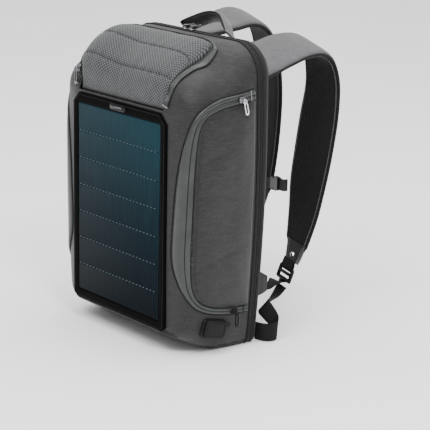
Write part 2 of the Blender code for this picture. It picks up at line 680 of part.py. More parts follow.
def make_electronics():
    yb = lean_y(FRONT_Y + WALL, 0.13)
    box("charge_controller", -0.0330, 0.0330, yb + 0.0006, yb + 0.0126, 0.1000, 0.1620, "plastic", 0.0015)
    cylinder("panel_lead", (0.0, yb - 0.0009, 0.13), (0, 1, 0), 0.0020, 0.0022, "rubber", 8)

    # USB housing: rounded plate on the wall with a socket tube through the wall
    wall_out = max(side_x(USB_C[0] + dy, USB_C[1] + dz) for dy in (-0.023, 0, 0.023) for dz in (-0.014, 0, 0.016)) + 0.0008

    def place(u, v, d):
        y = USB_C[0] + u * math.cos(USB_TILT) - v * math.sin(USB_TILT)
        z = USB_C[1] + u * math.sin(USB_TILT) + v * math.cos(USB_TILT)
        return (wall_out + d, y, z)

    plate = add("usb_housing", *extrude_geometry(rounded_rect(-0.0225, 0.0225, -0.0150, 0.0150, 0.007, 4), 0.0, 0.0024, place), "rubber", place(0, 0, 0))
    hole = guide("usb_mouth_cutter", *extrude_geometry(rounded_rect(-0.0078, 0.0078, -0.0040, 0.0040, 0.001, 1), -0.01, 0.01, place))
    cut(plate, hole)
    # the socket: an open-fronted metal box through the wall
    outline = rounded_rect(-0.0072, 0.0072, -0.0034, 0.0034, 0.0008, 1)
    inside = rounded_rect(-0.0064, 0.0064, -0.0026, 0.0026, 0.0006, 1)
    n = len(outline)
    a, b, c = -0.0150, 0.0020, -0.0138
    verts = [place(u, v, a) for u, v in outline] + [place(u, v, b) for u, v in outline]
    verts += [place(u, v, b) for u, v in inside] + [place(u, v, c) for u, v in inside]
    faces = [tuple(range(n)), tuple(reversed(range(3 * n, 4 * n)))]
    for p, q in ((0, n), (n, 2 * n), (2 * n, 3 * n)):
        for j in range(n):
            k = (j + 1) % n
            faces.append((p + k, p + j, q + j, q + k))
    add("usb_socket", verts, faces, "metal", place(0, 0, 0))
    # rubber cover, hinged along its front edge, with a finger tab at its rear top corner
    outline = rounded_rect(-0.0205, 0.0205, -0.0135, 0.0135, 0.006, 4)
    outline = [p for p in outline if not (p[0] > 0.016 and p[1] > 0.009)]
    top = [i for i, p in enumerate(outline) if p[0] > 0.0204 and p[1] > -0.009][-1:]
    at = top[0] + 1 if top else 5
    outline[at:at] = [(0.0205, 0.0060), (0.0275, 0.0085), (0.0268, 0.0135), (0.0160, 0.0140)]
    hinge = place(-0.0215, 0, 0.0034)
    cover = add("usb_cover", *extrude_geometry(outline, 0.0028, 0.0062, place), "rubber", hinge)
    axis = Vector(place(0, 1, 0)) - Vector(place(0, 0, 0))
    # internal lead from the controller to the back of the socket
    end = Vector(place(0, 0, a - 0.0006))
    yc = yb + 0.0076
    points = [
        (0.0336, yc, 0.125), (0.050, yc, 0.123), (0.080, yc + 0.001, 0.108), (0.105, yc + 0.008, 0.082), (0.116, yc + 0.025, 0.058),
        (end.x - 0.016, end.y - 0.010, end.z + 0.004), (end.x - 0.007, end.y - 0.001, end.z), tuple(end),
    ]
    curve = bpy.data.curves.new("usb_lead", "CURVE")
    curve.dimensions = "3D"
    route = catmull(points, 4)
    spline = curve.splines.new("POLY")
    spline.points.add(len(route) - 1)
    for point, co in zip(spline.points, route):
        point.co = (*co, 1)
    curve.bevel_depth = 0.0018
    curve.bevel_resolution = 2
    curve.use_fill_caps = True
    obj = bpy.data.objects.new("usb_lead", curve)
    curve.materials.append(material("rubber"))
    bpy.context.scene.collection.objects.link(obj)
    return hinge, axis


# ---------------------------------------------------------------- back panel module
def tray_back(z):
    """Outer face of the back panel at height z: a plane that runs out towards the top."""
    return 0.0745 + 0.0145 * z


def tray_ring(inset, y_of, shrink=0.0):
    return [(x, y_of(z), z) for x, z in ring(REAR_Y, inset + shrink)]


def make_back():
    # zip tape band between the shell and the tray
    loops = [
        tray_ring(0.0006, lambda z: REAR_Y + GAP), tray_ring(0.0006, lambda z: TAPE_Y),
        tray_ring(0.0026, lambda z: TAPE_Y), tray_ring(0.0026, lambda z: REAR_Y + GAP),
    ]
    verts, faces = tube_geometry(loops, closed=True)
    add("main_zip_tape", verts, faces, "zip_tape")

    outer = [
        tray_ring(0.0, lambda z: TRAY_Y), tray_ring(0.0, lambda z: lerp(TRAY_Y, tray_back(z), 0.5)),
        tray_ring(0.0010, lambda z: lerp(TRAY_Y, tray_back(z), 0.85)), tray_ring(0.0050, lambda z: tray_back(z)),
    ]
    inner = [
        tray_ring(0.0026, lambda z: TRAY_Y), tray_ring(0.0026, lambda z: lerp(TRAY_Y, tray_back(z), 0.5)),
        tray_ring(0.0070, lambda z: tray_back(z) - 0.0022),
    ]
    loops = outer
    count = len(loops[0])
    stack = loops + list(reversed(inner))
    # order: outer front..outer back, inner back..inner front
    verts = [p for loop in stack for p in loop]
    faces = []
    no = len(loops)

    def strip(a, b):
        for j in range(count):
            k = (j + 1) % count
            faces.append((a * count + j, a * count + k, b * count + k, b * count + j))

    for i in range(no - 1):
        strip(i, i + 1)
    for i in range(no, len(stack) - 1):
        strip(i, i + 1)
    strip(len(stack) - 1, 0)
    faces.append(tuple((no - 1) * count + j for j in range(count)))
    faces.append(tuple(no * count + j for j in reversed(range(count))))
    hinge = (0.0, TRAY_Y - 0.0003, 0.0008)
    add("back_panel", verts, faces, "black_fabric", hinge)

    box("back_frame_sheet", -0.1280, 0.1280, 0.0688, 0.0700, 0.0200, 0.4280, "board")

    # laptop sleeve: an open-topped padded pouch on the back panel's inner face
    x0, y0, y1, z0, z1, w = 0.1250, 0.0430, 0.0680, 0.0300, 0.3300, 0.0022
    verts, faces = [], []
    for a, b, c, d, e in ((x0, y0, y1, z0, z1), (x0 - w, y0 + w, y1 - w, z0 + w, z1)):
        verts += [(x, y, z) for z in (d, e) for x, y in ((-a, b), (a, b), (a, c), (-a, c))]
    faces = [(0, 3, 2, 1), (8, 9, 10, 11)]
    for i in range(4):
        k = (i + 1) % 4
        faces.append((i, k, 4 + k, 4 + i))
        faces.append((8 + k, 8 + i, 12 + i, 12 + k))
        faces.append((4 + i, 4 + k, 12 + k, 12 + i))
    add("laptop_sleeve", verts, faces, "lining")

    # back pads
    for s, name in ((1, "right"), (-1, "left")):
        outline = rounded_rect(0.0160, 0.1120, 0.0600, 0.3650, 0.020, 4)
        small = rounded_rect(0.0200, 0.1080, 0.0640, 0.3610, 0.017, 4)
        loops = [[(s * x, tray_back(z) + d, z) for x, z in o] for o, d in ((outline, GAP), (outline, 0.0070), (small, 0.0115))]
        add(f"back_pad_{name}", *tube_geometry(loops), "foam_mesh")
    return hinge


# ---------------------------------------------------------------- shoulder straps
# Edges of each strap's inner (body) face from its root at the back panel to its lower end: x, y, z
RIGHT_INNER = (
    (0.0400, 0.0950, 0.4230), (0.0430, 0.1150, 0.4300), (0.0450, 0.1400, 0.4340), (0.0450, 0.1670, 0.4400), (0.0450, 0.1980, 0.4420),
    (0.0450, 0.2220, 0.4370), (0.0450, 0.2400, 0.4200), (0.0450, 0.2470, 0.3900), (0.0450, 0.2480, 0.3600), (0.0450, 0.2400, 0.3170),
    (0.0460, 0.2300, 0.2610), (0.0480, 0.2220, 0.2160), (0.0520, 0.2170, 0.1700), (0.0600, 0.2080, 0.1350), (0.0700, 0.1960, 0.1080), (0.0780, 0.1850, 0.0930),
)
RIGHT_OUTER = (
    (0.1060, 0.0900, 0.3830), (0.1085, 0.1020, 0.3900), (0.1100, 0.1300, 0.3985), (0.1100, 0.1600, 0.4080), (0.1100, 0.1950, 0.4170),
    (0.1100, 0.2230, 0.4170), (0.1100, 0.2420, 0.4040), (0.1100, 0.2530, 0.3790), (0.1100, 0.2560, 0.3500), (0.1100, 0.2540, 0.3100),
    (0.1100, 0.2450, 0.2560), (0.1100, 0.2340, 0.2100), (0.1100, 0.2200, 0.1640), (0.1100, 0.2040, 0.1280), (0.1110, 0.1900, 0.1030), (0.1120, 0.1790, 0.0900),
)
LEFT_INNER = ((-0.0400, 0.0950, 0.4300), (-0.0420, 0.1150, 0.4340), (-0.0430, 0.1500, 0.4370), (-0.0430, 0.1850, 0.4410), (-0.0430, 0.2130, 0.4440),
    (-0.0430, 0.2350, 0.4380), (-0.0430, 0.2530, 0.4200), (-0.0430, 0.2650, 0.3920), (-0.0430, 0.2710, 0.3600), (-0.0430, 0.2740, 0.3170),
    (-0.0430, 0.2715, 0.2610), (-0.0450, 0.2665, 0.2060), (-0.0500, 0.2620, 0.1660), (-0.0570, 0.2550, 0.1350), (-0.0670, 0.2400, 0.1060), (-0.0760, 0.2260, 0.0900))
LEFT_OUTER = ((-0.1060, 0.0950, 0.4050), (-0.1070, 0.1150, 0.4250), (-0.1080, 0.1450, 0.4420), (-0.1080, 0.1800, 0.4560), (-0.1080, 0.2080, 0.4620),
    (-0.1080, 0.2360, 0.4560), (-0.1080, 0.2590, 0.4370), (-0.1080, 0.2720, 0.4050), (-0.1080, 0.2785, 0.3650), (-0.1080, 0.2815, 0.3170),
    (-0.1080, 0.2785, 0.2610), (-0.1080, 0.2730, 0.2060), (-0.1080, 0.2670, 0.1660), (-0.1080, 0.2590, 0.1330), (-0.1090, 0.2445, 0.1030), (-0.1100, 0.2310, 0.0870))


def strap_rows(inner_edge, outer_edge, per_span=2):
    a, b = catmull(inner_edge, per_span), catmull(outer_edge, per_span)
    rows = []
    for i, (p, q) in enumerate(zip(a, b)):
        prev, nxt = max(i - 1, 0), min(i + 1, len(a) - 1)
        along = (a[nxt] + b[nxt] - a[prev] - b[prev]).normalized()
        across = (q - p).normalized()
        normal = along.cross(across).normalized()
        rows.append((p, q, along, normal))
    return rows


def make_strap(side, inner_edge, outer_edge):
    s = 1 if side == "right" else -1
    rows = strap_rows(inner_edge, outer_edge)
    lower = len(rows) - 9
    inner, outer = [], []
    for p, q, _, n in rows[: lower + 1]:
        n = n * s if (n * s).z > -2 else n
        inner.append([tuple(p.lerp(q, t)) for t in (0.0, 0.08, 0.5, 0.92, 1.0)])
        outer.append([tuple(p.lerp(q, t) + n * (STRAP_T * k)) for t, k in ((0.0, 0.45), (0.08, 0.9), (0.5, 1.0), (0.92, 0.9), (1.0, 0.45))])
    return rows, inner, outer, lower


def outward(rows, i):
    """Unit normal of the strap that points away from the wearer's body."""
    p, q, along, n = rows[i]
    centre = Vector((0.075 if p.x > 0 else -0.075, 0.17, 0.25))
    mid = (p + q) / 2
    return n if n.dot(mid - centre) > 0 else -n


def strap_solid(name, rows, first, last, thick, mat, lift=0.0, inset=0.0):
    inner, outer = [], []
    for i in range(first, last + 1):
        p, q, _, _ = rows[i]
        n = outward(rows, i)
        across = (q - p).normalized()
        p, q = p + across * inset + n * lift, q - across * inset + n * lift
        inner.append([tuple(p.lerp(q, t)) for t in (0.0, 0.10, 0.5, 0.90, 1.0)])
        outer.append([tuple(p.lerp(q, t) + n * (thick * k)) for t, k in ((0.0, 0.5), (0.10, 0.93), (0.5, 1.0), (0.90, 0.93), (1.0, 0.5))])
    return add(name, *slab_geometry(outer, inner), mat)


def ribbon(name, points, widths, thick, mat, per_span=3):
    """A flat woven band along a smooth path; widths are the vectors from its middle to one edge."""
    path, half = catmull(points, per_span), catmull(widths, per_span)
    a_rows, b_rows = [], []
    for i, (p, w) in enumerate(zip(path, half)):
        prev, nxt = path[max(i - 1, 0)], path[min(i + 1, len(path) - 1)]
        n = (nxt - prev).cross(w).normalized() * (thick / 2)
        a_rows.append([tuple(p - w + n), tuple(p + n), tuple(p + w + n)])
        b_rows.append([tuple(p - w - n), tuple(p - n), tuple(p + w - n)])
    return add(name, *slab_geometry(a_rows, b_rows), mat)


def make_straps():
    for side, ie, oe in (("right", RIGHT_INNER, RIGHT_OUTER), ("left", LEFT_INNER, LEFT_OUTER)):
        rows = strap_rows(ie, oe)
        n = len(rows) - 1
        cut_at = n - 3 if side == "right" else n - 6
        stud = n - 2 if side == "right" else n - 3
        strap_solid(f"shoulder_strap_{side}", rows, 1, cut_at, STRAP_T, "foam_mesh")
        # leatherette end piece below the padded part
        strap_solid(f"strap_end_{side}", rows, cut_at, n - 1, 0.0070, "leatherette", 0.0012)
        # its first row would touch the pad, so it is set back along the strap
        end = bpy.data.objects[f"strap_end_{side}"]
        shift = rows[cut_at + 1][2] * 0.0006
        end.location = end.location + shift
        # press stud through the end piece, on the body side
        p, q, along, _ = rows[stud]
        out = outward(rows, stud)
        centre = (p + q) / 2
        cylinder(f"strap_rivet_{side}", centre + shift + out * (-0.0002), out, 0.0036, 0.0022, "metal", 14)
        make_adjuster(side, rows[n])


def make_adjuster(side, row):
    s = 1 if side == "right" else -1
    p, q, along, _ = row
    mid = (p + q) / 2
    across = (q - p).normalized()
    normal = along.cross(across).normalized()
    centre = mid + along * 0.0150

    # ladder-lock buckle: a frame with three bars and two slots
    def place(u, v, d):
        return tuple(centre + across * u + along * v + normal * d)

    body = add(f"adjuster_{side}", *extrude_geometry(rounded_rect(-0.0190, 0.0190, -0.0125, 0.0125, 0.003, 2), -0.0026, 0.0026, place), "plastic", centre)
    for v0, v1 in ((-0.0090, -0.0035), (0.0020, 0.0085)):
        slot = guide(f"adjuster_{side}_slot_{int(v1 > 0)}", *extrude_geometry([(-0.0145, v0), (0.0145, v0), (0.0145, v1), (-0.0145, v1)], -0.01, 0.01, place))
        cut(body, slot)

    # lower webbing from the corner tab at the bag's side to the adjuster
    tab_tip = Vector((s * 0.1240, 0.1130, 0.0800))
    start = centre + along * 0.0150
    w0 = across * 0.0125
    if w0.x * s < 0:
        w0 = -w0
    w1 = Vector((s * 0.0060, 0.0, 0.0110))
    ribbon(f"lower_webbing_{side}", [tuple(start), tuple(start.lerp(tab_tip, 0.5) + Vector((0, 0, -0.003))), tuple(tab_tip)],
           [tuple(w0), tuple(w0.lerp(w1, 0.5)), tuple(w1)], 0.0016, "webbing", 4)
    # triangular corner tab sewn to the back panel
    tri = [(0.1400, 0.1120), (0.1400, 0.0700), ]
    pts = []
    for x, z in tri:
        pts.append((s * x, tray_back(z) + 0.0006, z))
    tip_a = (s * 0.1262, 0.1090, 0.0920)
    tip_b = (s * 0.1254, 0.1090, 0.0690)
    thick = 0.0024
    loop = [pts[0], tip_a, tip_b, pts[1]]
    other = [(x - s * thick, y, z) for x, y, z in loop]
    add(f"corner_tab_{side}", *tube_geometry([loop, other]), "black_fabric")
    # loose end of the webbing: out of the adjuster, down to the floor and curled round on its edge
    out = centre + along * 0.0135 - normal * 0.0
    base = centre + along * 0.0146 + Vector((0, 0, -0.0065))
    if side == "right":
        pts = [tuple(base), (s * 0.1150, 0.1330, 0.0480), (s * 0.1310, 0.1010, 0.0500), (s * 0.1410, 0.1000, 0.0430), (s * 0.1490, 0.1050, 0.0330),
               (s * 0.1550, 0.1080, 0.0230), (s * 0.1590, 0.1040, 0.0160), (s * 0.1580, 0.0930, 0.0150), (s * 0.1500, 0.0840, 0.0150), (s * 0.1360, 0.0800, 0.0150)]
    else:
        pts = [tuple(base), (s * 0.1150, 0.1900, 0.0520), (s * 0.1200, 0.1700, 0.0380), (s * 0.1230, 0.1560, 0.0250), (s * 0.1200, 0.1420, 0.0205),
               (s * 0.1080, 0.1330, 0.0205), (s * 0.0930, 0.1340, 0.0205), (s * 0.0860, 0.1450, 0.0205), (s * 0.0880, 0.1580, 0.0205)]
    if side == "right":
        widths = [tuple(w0), (s * 0.0100, 0.0030, 0.0070), (s * 0.0050, 0.0060, 0.0100), (s * 0.0020, 0.0060, 0.0115), (0.0, 0.0050, 0.0120), (0.0, 0.0030, 0.0130)] + [(0.0, 0.0, 0.0140)] * 4
    else:
        widths = [tuple(w0), (s * 0.0110, 0.0, 0.0060), (s * 0.0080, 0.0, 0.0100), (s * 0.0030, 0.0, 0.0130)] + [(0.0, 0.0, 0.0140)] * 5
    ribbon(f"webbing_tail_{side}", pts, widths, 0.0016, "webbing", 3)


def make_sternum():
    # two webbing halves and a side-release buckle between the straps
    a = Vector((0.0455, 0.2185, 0.2045))
    b = Vector((-0.0600, 0.2632, 0.1830))
    m = a.lerp(b, 0.5)
    d = (b - a).normalized()
    up = Vector((0, 0, 1))
    half = 0.0095

    def band(name, p, q, sag):
        mid = p.lerp(q, 0.5) + Vector((0, 0, -sag))
        ribbon(name, [tuple(p), tuple(mid), tuple(q)], [(0, 0, half)] * 3, 0.0016, "webbing", 3)

    band("sternum_strap_right", a, m - d * 0.0196, 0.0015)
    band("sternum_strap_left", m + d * 0.0196, b, 0.0015)
    n = d.cross(up).normalized()

    def place(u, v, w):
        return tuple(m + d * u + up * v + n * w)

    socket = [(-0.0190, -0.0105), (-0.0010, -0.0125), (-0.0010, 0.0125), (-0.0190, 0.0105)]
    add("sternum_socket", *extrude_geometry(socket, -0.0032, 0.0032, place), "plastic", m)
    plug = [(0.0000, -0.0090), (0.0190, -0.0105), (0.0190, 0.0105), (0.0000, 0.0090)]
    add("sternum_plug", *extrude_geometry(plug, -0.0028, 0.0028, place), "plastic", m)
    # webbing halves with slots for the loops would close up here; the halves stop at the buckle's ends


# ---------------------------------------------------------------- carry handle
def make_handle():
    hinge = Vector((0.0, 0.0790, 0.4520))
    points = [(-0.0540, 0.0830, 0.4530), (-0.0400, 0.0905, 0.4610), (-0.0180, 0.1010, 0.4710), (0.0, 0.1040, 0.4735),
              (0.0180, 0.1010, 0.4710), (0.0400, 0.0905, 0.4610), (0.0540, 0.0830, 0.4530)]
    w = (0.0, 0.0075, -0.0060)
    ribbon("carry_handle", points, [w] * 7, 0.0034, "shell_fabric", 3)
    obj = bpy.data.objects["carry_handle"]
    mesh = obj.data
    mesh.transform(Matrix.Translation(-hinge))
    obj.location = hinge
    return hinge


# ---------------------------------------------------------------- assembly
def centre_origin():
    """Moves everything so that X = 0 and Y = 0 run through the middle of the whole object's footprint."""
    bpy.context.view_layer.update()
    graph = bpy.context.evaluated_depsgraph_get()
    low, high = [9.0] * 2, [-9.0] * 2
    for obj in bpy.data.objects:
        if obj.hide_render:
            continue
        shape = obj.evaluated_get(graph)
        mesh = shape.to_mesh()
        for vertex in mesh.vertices:
            point = shape.matrix_world @ vertex.co
            for k in range(2):
                low[k], high[k] = min(low[k], point[k]), max(high[k], point[k])
        shape.to_mesh_clear()
    shift = Vector((-(low[0] + high[0]) / 2, -(low[1] + high[1]) / 2, 0))
    for obj in bpy.data.objects:
        obj.location = obj.location + shift
    print("origin moved by", tuple(round(v, 6) for v in shift))


def main():
    clear_scene()
    make_shell()
    for s, name in ((1, "right"), (-1, "left")):
        make_side_pocket(s, name)
    make_hood()
    make_solar()
    make_electronics()
    box("base_board", -0.1150, 0.1150, 0.0010, 0.0500, WALL + 0.0006, WALL + 0.0024, "board")
    make_back()
    make_straps()
    make_sternum()
    make_handle()
    make_zips()
    centre_origin()


main()
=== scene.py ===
import math

import bmesh
import bpy
import numpy as np
from mathutils import Matrix, Vector, noise


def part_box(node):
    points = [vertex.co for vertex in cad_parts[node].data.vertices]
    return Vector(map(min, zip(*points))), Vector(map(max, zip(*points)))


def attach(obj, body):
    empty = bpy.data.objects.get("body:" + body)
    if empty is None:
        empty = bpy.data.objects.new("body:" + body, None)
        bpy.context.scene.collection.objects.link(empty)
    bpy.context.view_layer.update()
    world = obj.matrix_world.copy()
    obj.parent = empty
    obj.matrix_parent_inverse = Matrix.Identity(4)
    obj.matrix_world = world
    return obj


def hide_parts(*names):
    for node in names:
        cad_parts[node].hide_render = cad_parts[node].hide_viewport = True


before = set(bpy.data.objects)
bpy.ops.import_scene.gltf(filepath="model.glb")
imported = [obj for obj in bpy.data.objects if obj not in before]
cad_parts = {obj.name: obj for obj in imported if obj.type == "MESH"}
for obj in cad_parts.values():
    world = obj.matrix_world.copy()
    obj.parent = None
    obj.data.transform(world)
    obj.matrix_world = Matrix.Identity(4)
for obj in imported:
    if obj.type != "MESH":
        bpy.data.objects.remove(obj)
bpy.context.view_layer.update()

SHELL_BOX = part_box("main_shell")
DY = SHELL_BOX[1][1] - 0.0560          # the design frame's Y = 0, in the row frame
OFF = Vector((0.0, DY, 0.0))

# ================================================================ materials
MATS = {}


class Nodes:
    """A short way to write a node tree."""

    def __init__(self, name):
        self.mat = bpy.data.materials.new(name)
        self.mat.use_nodes = True
        self.tree = self.mat.node_tree
        self.shader = self.tree.nodes["Principled BSDF"]
        self.coords = self.tree.nodes.new("ShaderNodeTexCoord")
        MATS[name] = self.mat

    def node(self, kind, **values):
        made = self.tree.nodes.new("ShaderNode" + kind)
        for key, value in values.items():
            setattr(made, key, value)
        return made

    def link(self, a, b):
        self.tree.links.new(a, b)

    def mapped(self, scale, source="Object", rotation=(0, 0, 0)):
        m = self.node("Mapping")
        m.inputs["Scale"].default_value = scale
        m.inputs["Rotation"].default_value = rotation
        self.link(self.coords.outputs[source], m.inputs["Vector"])
        return m.outputs["Vector"]

    def noise(self, vector, scale=1.0, detail=2.0, rough=0.5):
        n = self.node("TexNoise")
        n.inputs["Scale"].default_value = scale
        n.inputs["Detail"].default_value = detail
        n.inputs["Roughness"].default_value = rough
        self.link(vector, n.inputs["Vector"])
        return n.outputs["Fac"]

    def math(self, op, a, b=None, clamp=False):
        m = self.node("Math", operation=op, use_clamp=clamp)
        for i, v in enumerate((a, b)):
            if v is None:
                continue
            if isinstance(v, (int, float)):
                m.inputs[i].default_value = v
            else:
                self.link(v, m.inputs[i])
        return m.outputs[0]

    def ramp(self, fac, stops):
        r = self.node("ValToRGB")
        while len(r.color_ramp.elements) < len(stops):
            r.color_ramp.elements.new(0.5)
        for element, (at, colour) in zip(r.color_ramp.elements, stops):
            element.position = at
            element.color = (*colour, 1)
        self.link(fac, r.inputs["Fac"])
        return r.outputs["Color"]

    def mix(self, fac, a, b, blend="MIX"):
        m = self.node("Mix", data_type="RGBA", blend_type=blend)
        if isinstance(fac, (int, float)):
            m.inputs[0].default_value = fac
        else:
            self.link(fac, m.inputs[0])
        for i, v in ((6, a), (7, b)):
            if isinstance(v, tuple):
                m.inputs[i].default_value = (*v, 1)
            else:
                self.link(v, m.inputs[i])
        return m.outputs[2]

    def axis(self, vector):
        s = self.node("SeparateXYZ")
        self.link(vector, s.inputs[0])
        return s.outputs

    def bump(self, height, strength, distance):
        b = self.node("Bump")
        b.inputs["Strength"].default_value = strength
        b.inputs["Distance"].default_value = distance
        self.link(height, b.inputs["Height"])
        self.link(b.outputs["Normal"], self.shader.inputs["Normal"])
        return b

    def set(self, **values):
        for key, value in values.items():
            socket = self.shader.inputs[key.replace("_", " ")]
            if isinstance(value, tuple) and len(value) == 3:
                value = (*value, 1)
            if isinstance(value, (int, float, tuple)):
                socket.default_value = value
            else:
                self.link(value, socket)


def fabric(name, low, mid, high, rough=0.82, sheen=0.25, streak=1.0, bump=0.25, coat=0.0):
    """A heathered plain weave: light and dark yarns crossing, with a slow variation over the cloth."""
    n = Nodes(name)
    weft = n.noise(n.mapped((330, 330, 1500)), 1.0, 3.0, 0.6)
    warp = n.noise(n.mapped((1500, 1500, 300)), 1.0, 3.0, 0.6)
    slub = n.noise(n.mapped((70, 70, 420)), 1.0, 2.0, 0.5)
    cloud = n.noise(n.mapped((9, 9, 9)), 1.0, 3.0, 0.55)
    yarn = n.math("ADD", n.math("MULTIPLY", weft, 0.40), n.math("MULTIPLY", warp, 0.34))
    yarn = n.math("ADD", yarn, n.math("MULTIPLY", slub, 0.26))
    yarn = n.math("ADD", n.math("MULTIPLY", n.math("SUBTRACT", yarn, 0.5), 1.9 * streak), 0.5, True)
    colour = n.ramp(yarn, ((0.05, low), (0.5, mid), (0.95, high)))
    colour = n.mix(n.math("MULTIPLY", cloud, 0.35), colour, low)
    grid = n.mapped((1, 1, 1))
    x, y, z = n.axis(grid)
    a = n.math("SINE", n.math("MULTIPLY", n.math("ADD", x, y), 2 * math.pi / 0.0011))
    b = n.math("SINE", n.math("MULTIPLY", z, 2 * math.pi / 0.0011))
    weave = n.math("ADD", n.math("MULTIPLY", n.math("MULTIPLY", a, b), 0.5), n.math("MULTIPLY", yarn, 1.2))
    n.bump(weave, bump, 0.0004)
    n.set(Base_Color=colour, Roughness=rough, Sheen_Weight=sheen, Sheen_Roughness=0.5, Coat_Weight=coat)
    n.set(**{"Specular_IOR_Level": 0.18})
    return n.mat


def make_materials():
    fabric("fabric_grey", (0.0055, 0.0053, 0.0058), (0.0175, 0.0169, 0.0181), (0.052, 0.0505, 0.0535), rough=0.44, sheen=0.09)
    fabric("fabric_light", (0.042, 0.040, 0.043), (0.080, 0.0775, 0.082), (0.15, 0.147, 0.15), rough=0.62, sheen=0.2)
    fabric("fabric_black", (0.003, 0.003, 0.003), (0.0075, 0.0075, 0.0075), (0.020, 0.020, 0.0205), rough=0.8, sheen=0.08)
    fabric("lining_cloth", (0.03, 0.03, 0.032), (0.06, 0.06, 0.064), (0.11, 0.11, 0.115), rough=0.7, sheen=0.1, streak=0.6)
    fabric("trim_black", (0.002, 0.002, 0.002), (0.005, 0.005, 0.005), (0.013, 0.013, 0.013), rough=0.6, sheen=0.03, bump=0.35)
    fabric("welt_grey", (0.022, 0.022, 0.022), (0.045, 0.045, 0.045), (0.09, 0.09, 0.09), rough=0.6, sheen=0.1, bump=0.35)

    # satin zip tape
    n = Nodes("tape_satin")
    fine = n.noise(n.mapped((500, 500, 500)), 1.0, 2.0)
    slow = n.noise(n.mapped((30, 30, 30)), 1.0, 2.0)
    colour = n.ramp(n.math("ADD", n.math("MULTIPLY", fine, 0.4), n.math("MULTIPLY", slow, 0.6)), ((0.3, (0.011, 0.0125, 0.0125)), (0.7, (0.030, 0.033, 0.033))))
    n.bump(fine, 0.12, 0.0003)
    n.set(Base_Color=colour, Roughness=0.36, Sheen_Weight=0.06, Coat_Weight=0.04, Coat_Roughness=0.3)
    n.set(**{"Specular_IOR_Level": 0.35})

    # hood: grey mesh with rows of small diamonds
    n = Nodes("hood_diamond")
    u, v, _ = n.axis(n.mapped((1, 1, 1), "UV"))
    cu = n.math("MULTIPLY", u, 2 * math.pi / 0.0062)
    cv = n.math("MULTIPLY", v, 2 * math.pi / 0.0050)
    lattice = n.math("ADD", n.math("COSINE", n.math("ADD", cu, cv)), n.math("COSINE", n.math("SUBTRACT", cu, cv)))
    lattice = n.math("MULTIPLY", n.math("ADD", lattice, 2.0), 0.25)
    fine = n.noise(n.mapped((900, 900, 900)), 1.0, 3.0, 0.6)
    slow = n.noise(n.mapped((22, 22, 22)), 1.0, 2.0)
    shade = n.math("ADD", n.math("MULTIPLY", lattice, 0.72), n.math("MULTIPLY", fine, 0.28))
    colour = n.ramp(shade, ((0.22, (0.0045, 0.0048, 0.0050)), (0.52, (0.025, 0.0268, 0.0278)), (0.86, (0.105, 0.110, 0.115))))
    colour = n.mix(n.math("MULTIPLY", slow, 0.3), colour, (0.022, 0.024, 0.024))
    n.bump(shade, 0.6, 0.0009)
    n.set(Base_Color=colour, Roughness=0.58, Sheen_Weight=0.2)
    n.set(**{"Specular_IOR_Level": 0.25})

    # spacer mesh: a close honeycomb of holes
    n = Nodes("air_mesh")
    x, y, z = n.axis(n.mapped((1, 1, 1), "UV"))
    cu = n.math("MULTIPLY", x, 2 * math.pi / 0.0046)
    cv = n.math("MULTIPLY", y, 2 * math.pi / 0.0052)
    holes = n.math("ADD", n.math("COSINE", n.math("ADD", cu, cv)), n.math("COSINE", n.math("SUBTRACT", cu, cv)))
    holes = n.math("MULTIPLY", n.math("ADD", holes, 2.0), 0.25)
    fine = n.noise(n.mapped((800, 800, 800)), 1.0, 3.0)
    shade = n.math("ADD", n.math("MULTIPLY", holes, 0.75), n.math("MULTIPLY", fine, 0.25))
    colour = n.ramp(shade, ((0.28, (0.0012, 0.0012, 0.0013)), (0.55, (0.0045, 0.0045, 0.0048)), (0.86, (0.020, 0.020, 0.021))))
    n.bump(shade, 0.8, 0.0012)
    n.set(Base_Color=colour, Roughness=0.8, Sheen_Weight=0.06)
    n.set(**{"Specular_IOR_Level": 0.15})

    # solar cells, with painted light: the cells are drawn lighter towards the top and, higher up, towards the right
    n = Nodes("solar_cells")
    x, y, z = n.axis(n.mapped((1, 1, 1)))
    line = n.math("ABSOLUTE", n.math("SINE", n.math("MULTIPLY", x, math.pi / 0.0042)))
    line = n.math("POWER", line, 14.0)
    fine = n.noise(n.mapped((260, 260, 22)), 1.0, 2.0)
    # painted light: height and side make the cells lighter towards the top and towards the right; the fine noise adds a
    # random mottle
    height = n.math("MULTIPLY", n.math("SUBTRACT", z, 0.05), 3.4, True)
    side = n.math("ADD", n.math("MULTIPLY", x, 3.0), 0.5)
    painted_light_and_mottle = n.math("ADD", n.math("MULTIPLY", height, 0.75), n.math("MULTIPLY", n.math("MULTIPLY", side, height), 0.45))
    painted_light_and_mottle = n.math("ADD", painted_light_and_mottle, n.math("MULTIPLY", n.math("SUBTRACT", fine, 0.5), 0.35), True)
    colour = n.ramp(painted_light_and_mottle, ((0.0, (0.0006, 0.0013, 0.0028)), (0.45, (0.0016, 0.0062, 0.0102)), (1.0, (0.0075, 0.0255, 0.0340))))
    colour = n.mix(n.math("MULTIPLY", line, 0.16), colour, (0.035, 0.075, 0.095))
    n.bump(line, 0.05, 0.0002)
    n.set(Base_Color=colour, Roughness=0.40, Metallic=0.0)
    n.set(**{"Specular_IOR_Level": 0.035})

    n = Nodes("solar_bus")
    fine = n.noise(n.mapped((900, 900, 900)), 1.0, 1.0)
    n.set(Base_Color=n.ramp(fine, ((0.3, (0.030, 0.062, 0.075)), (0.7, (0.055, 0.095, 0.110)))), Roughness=0.4, Metallic=0.3)

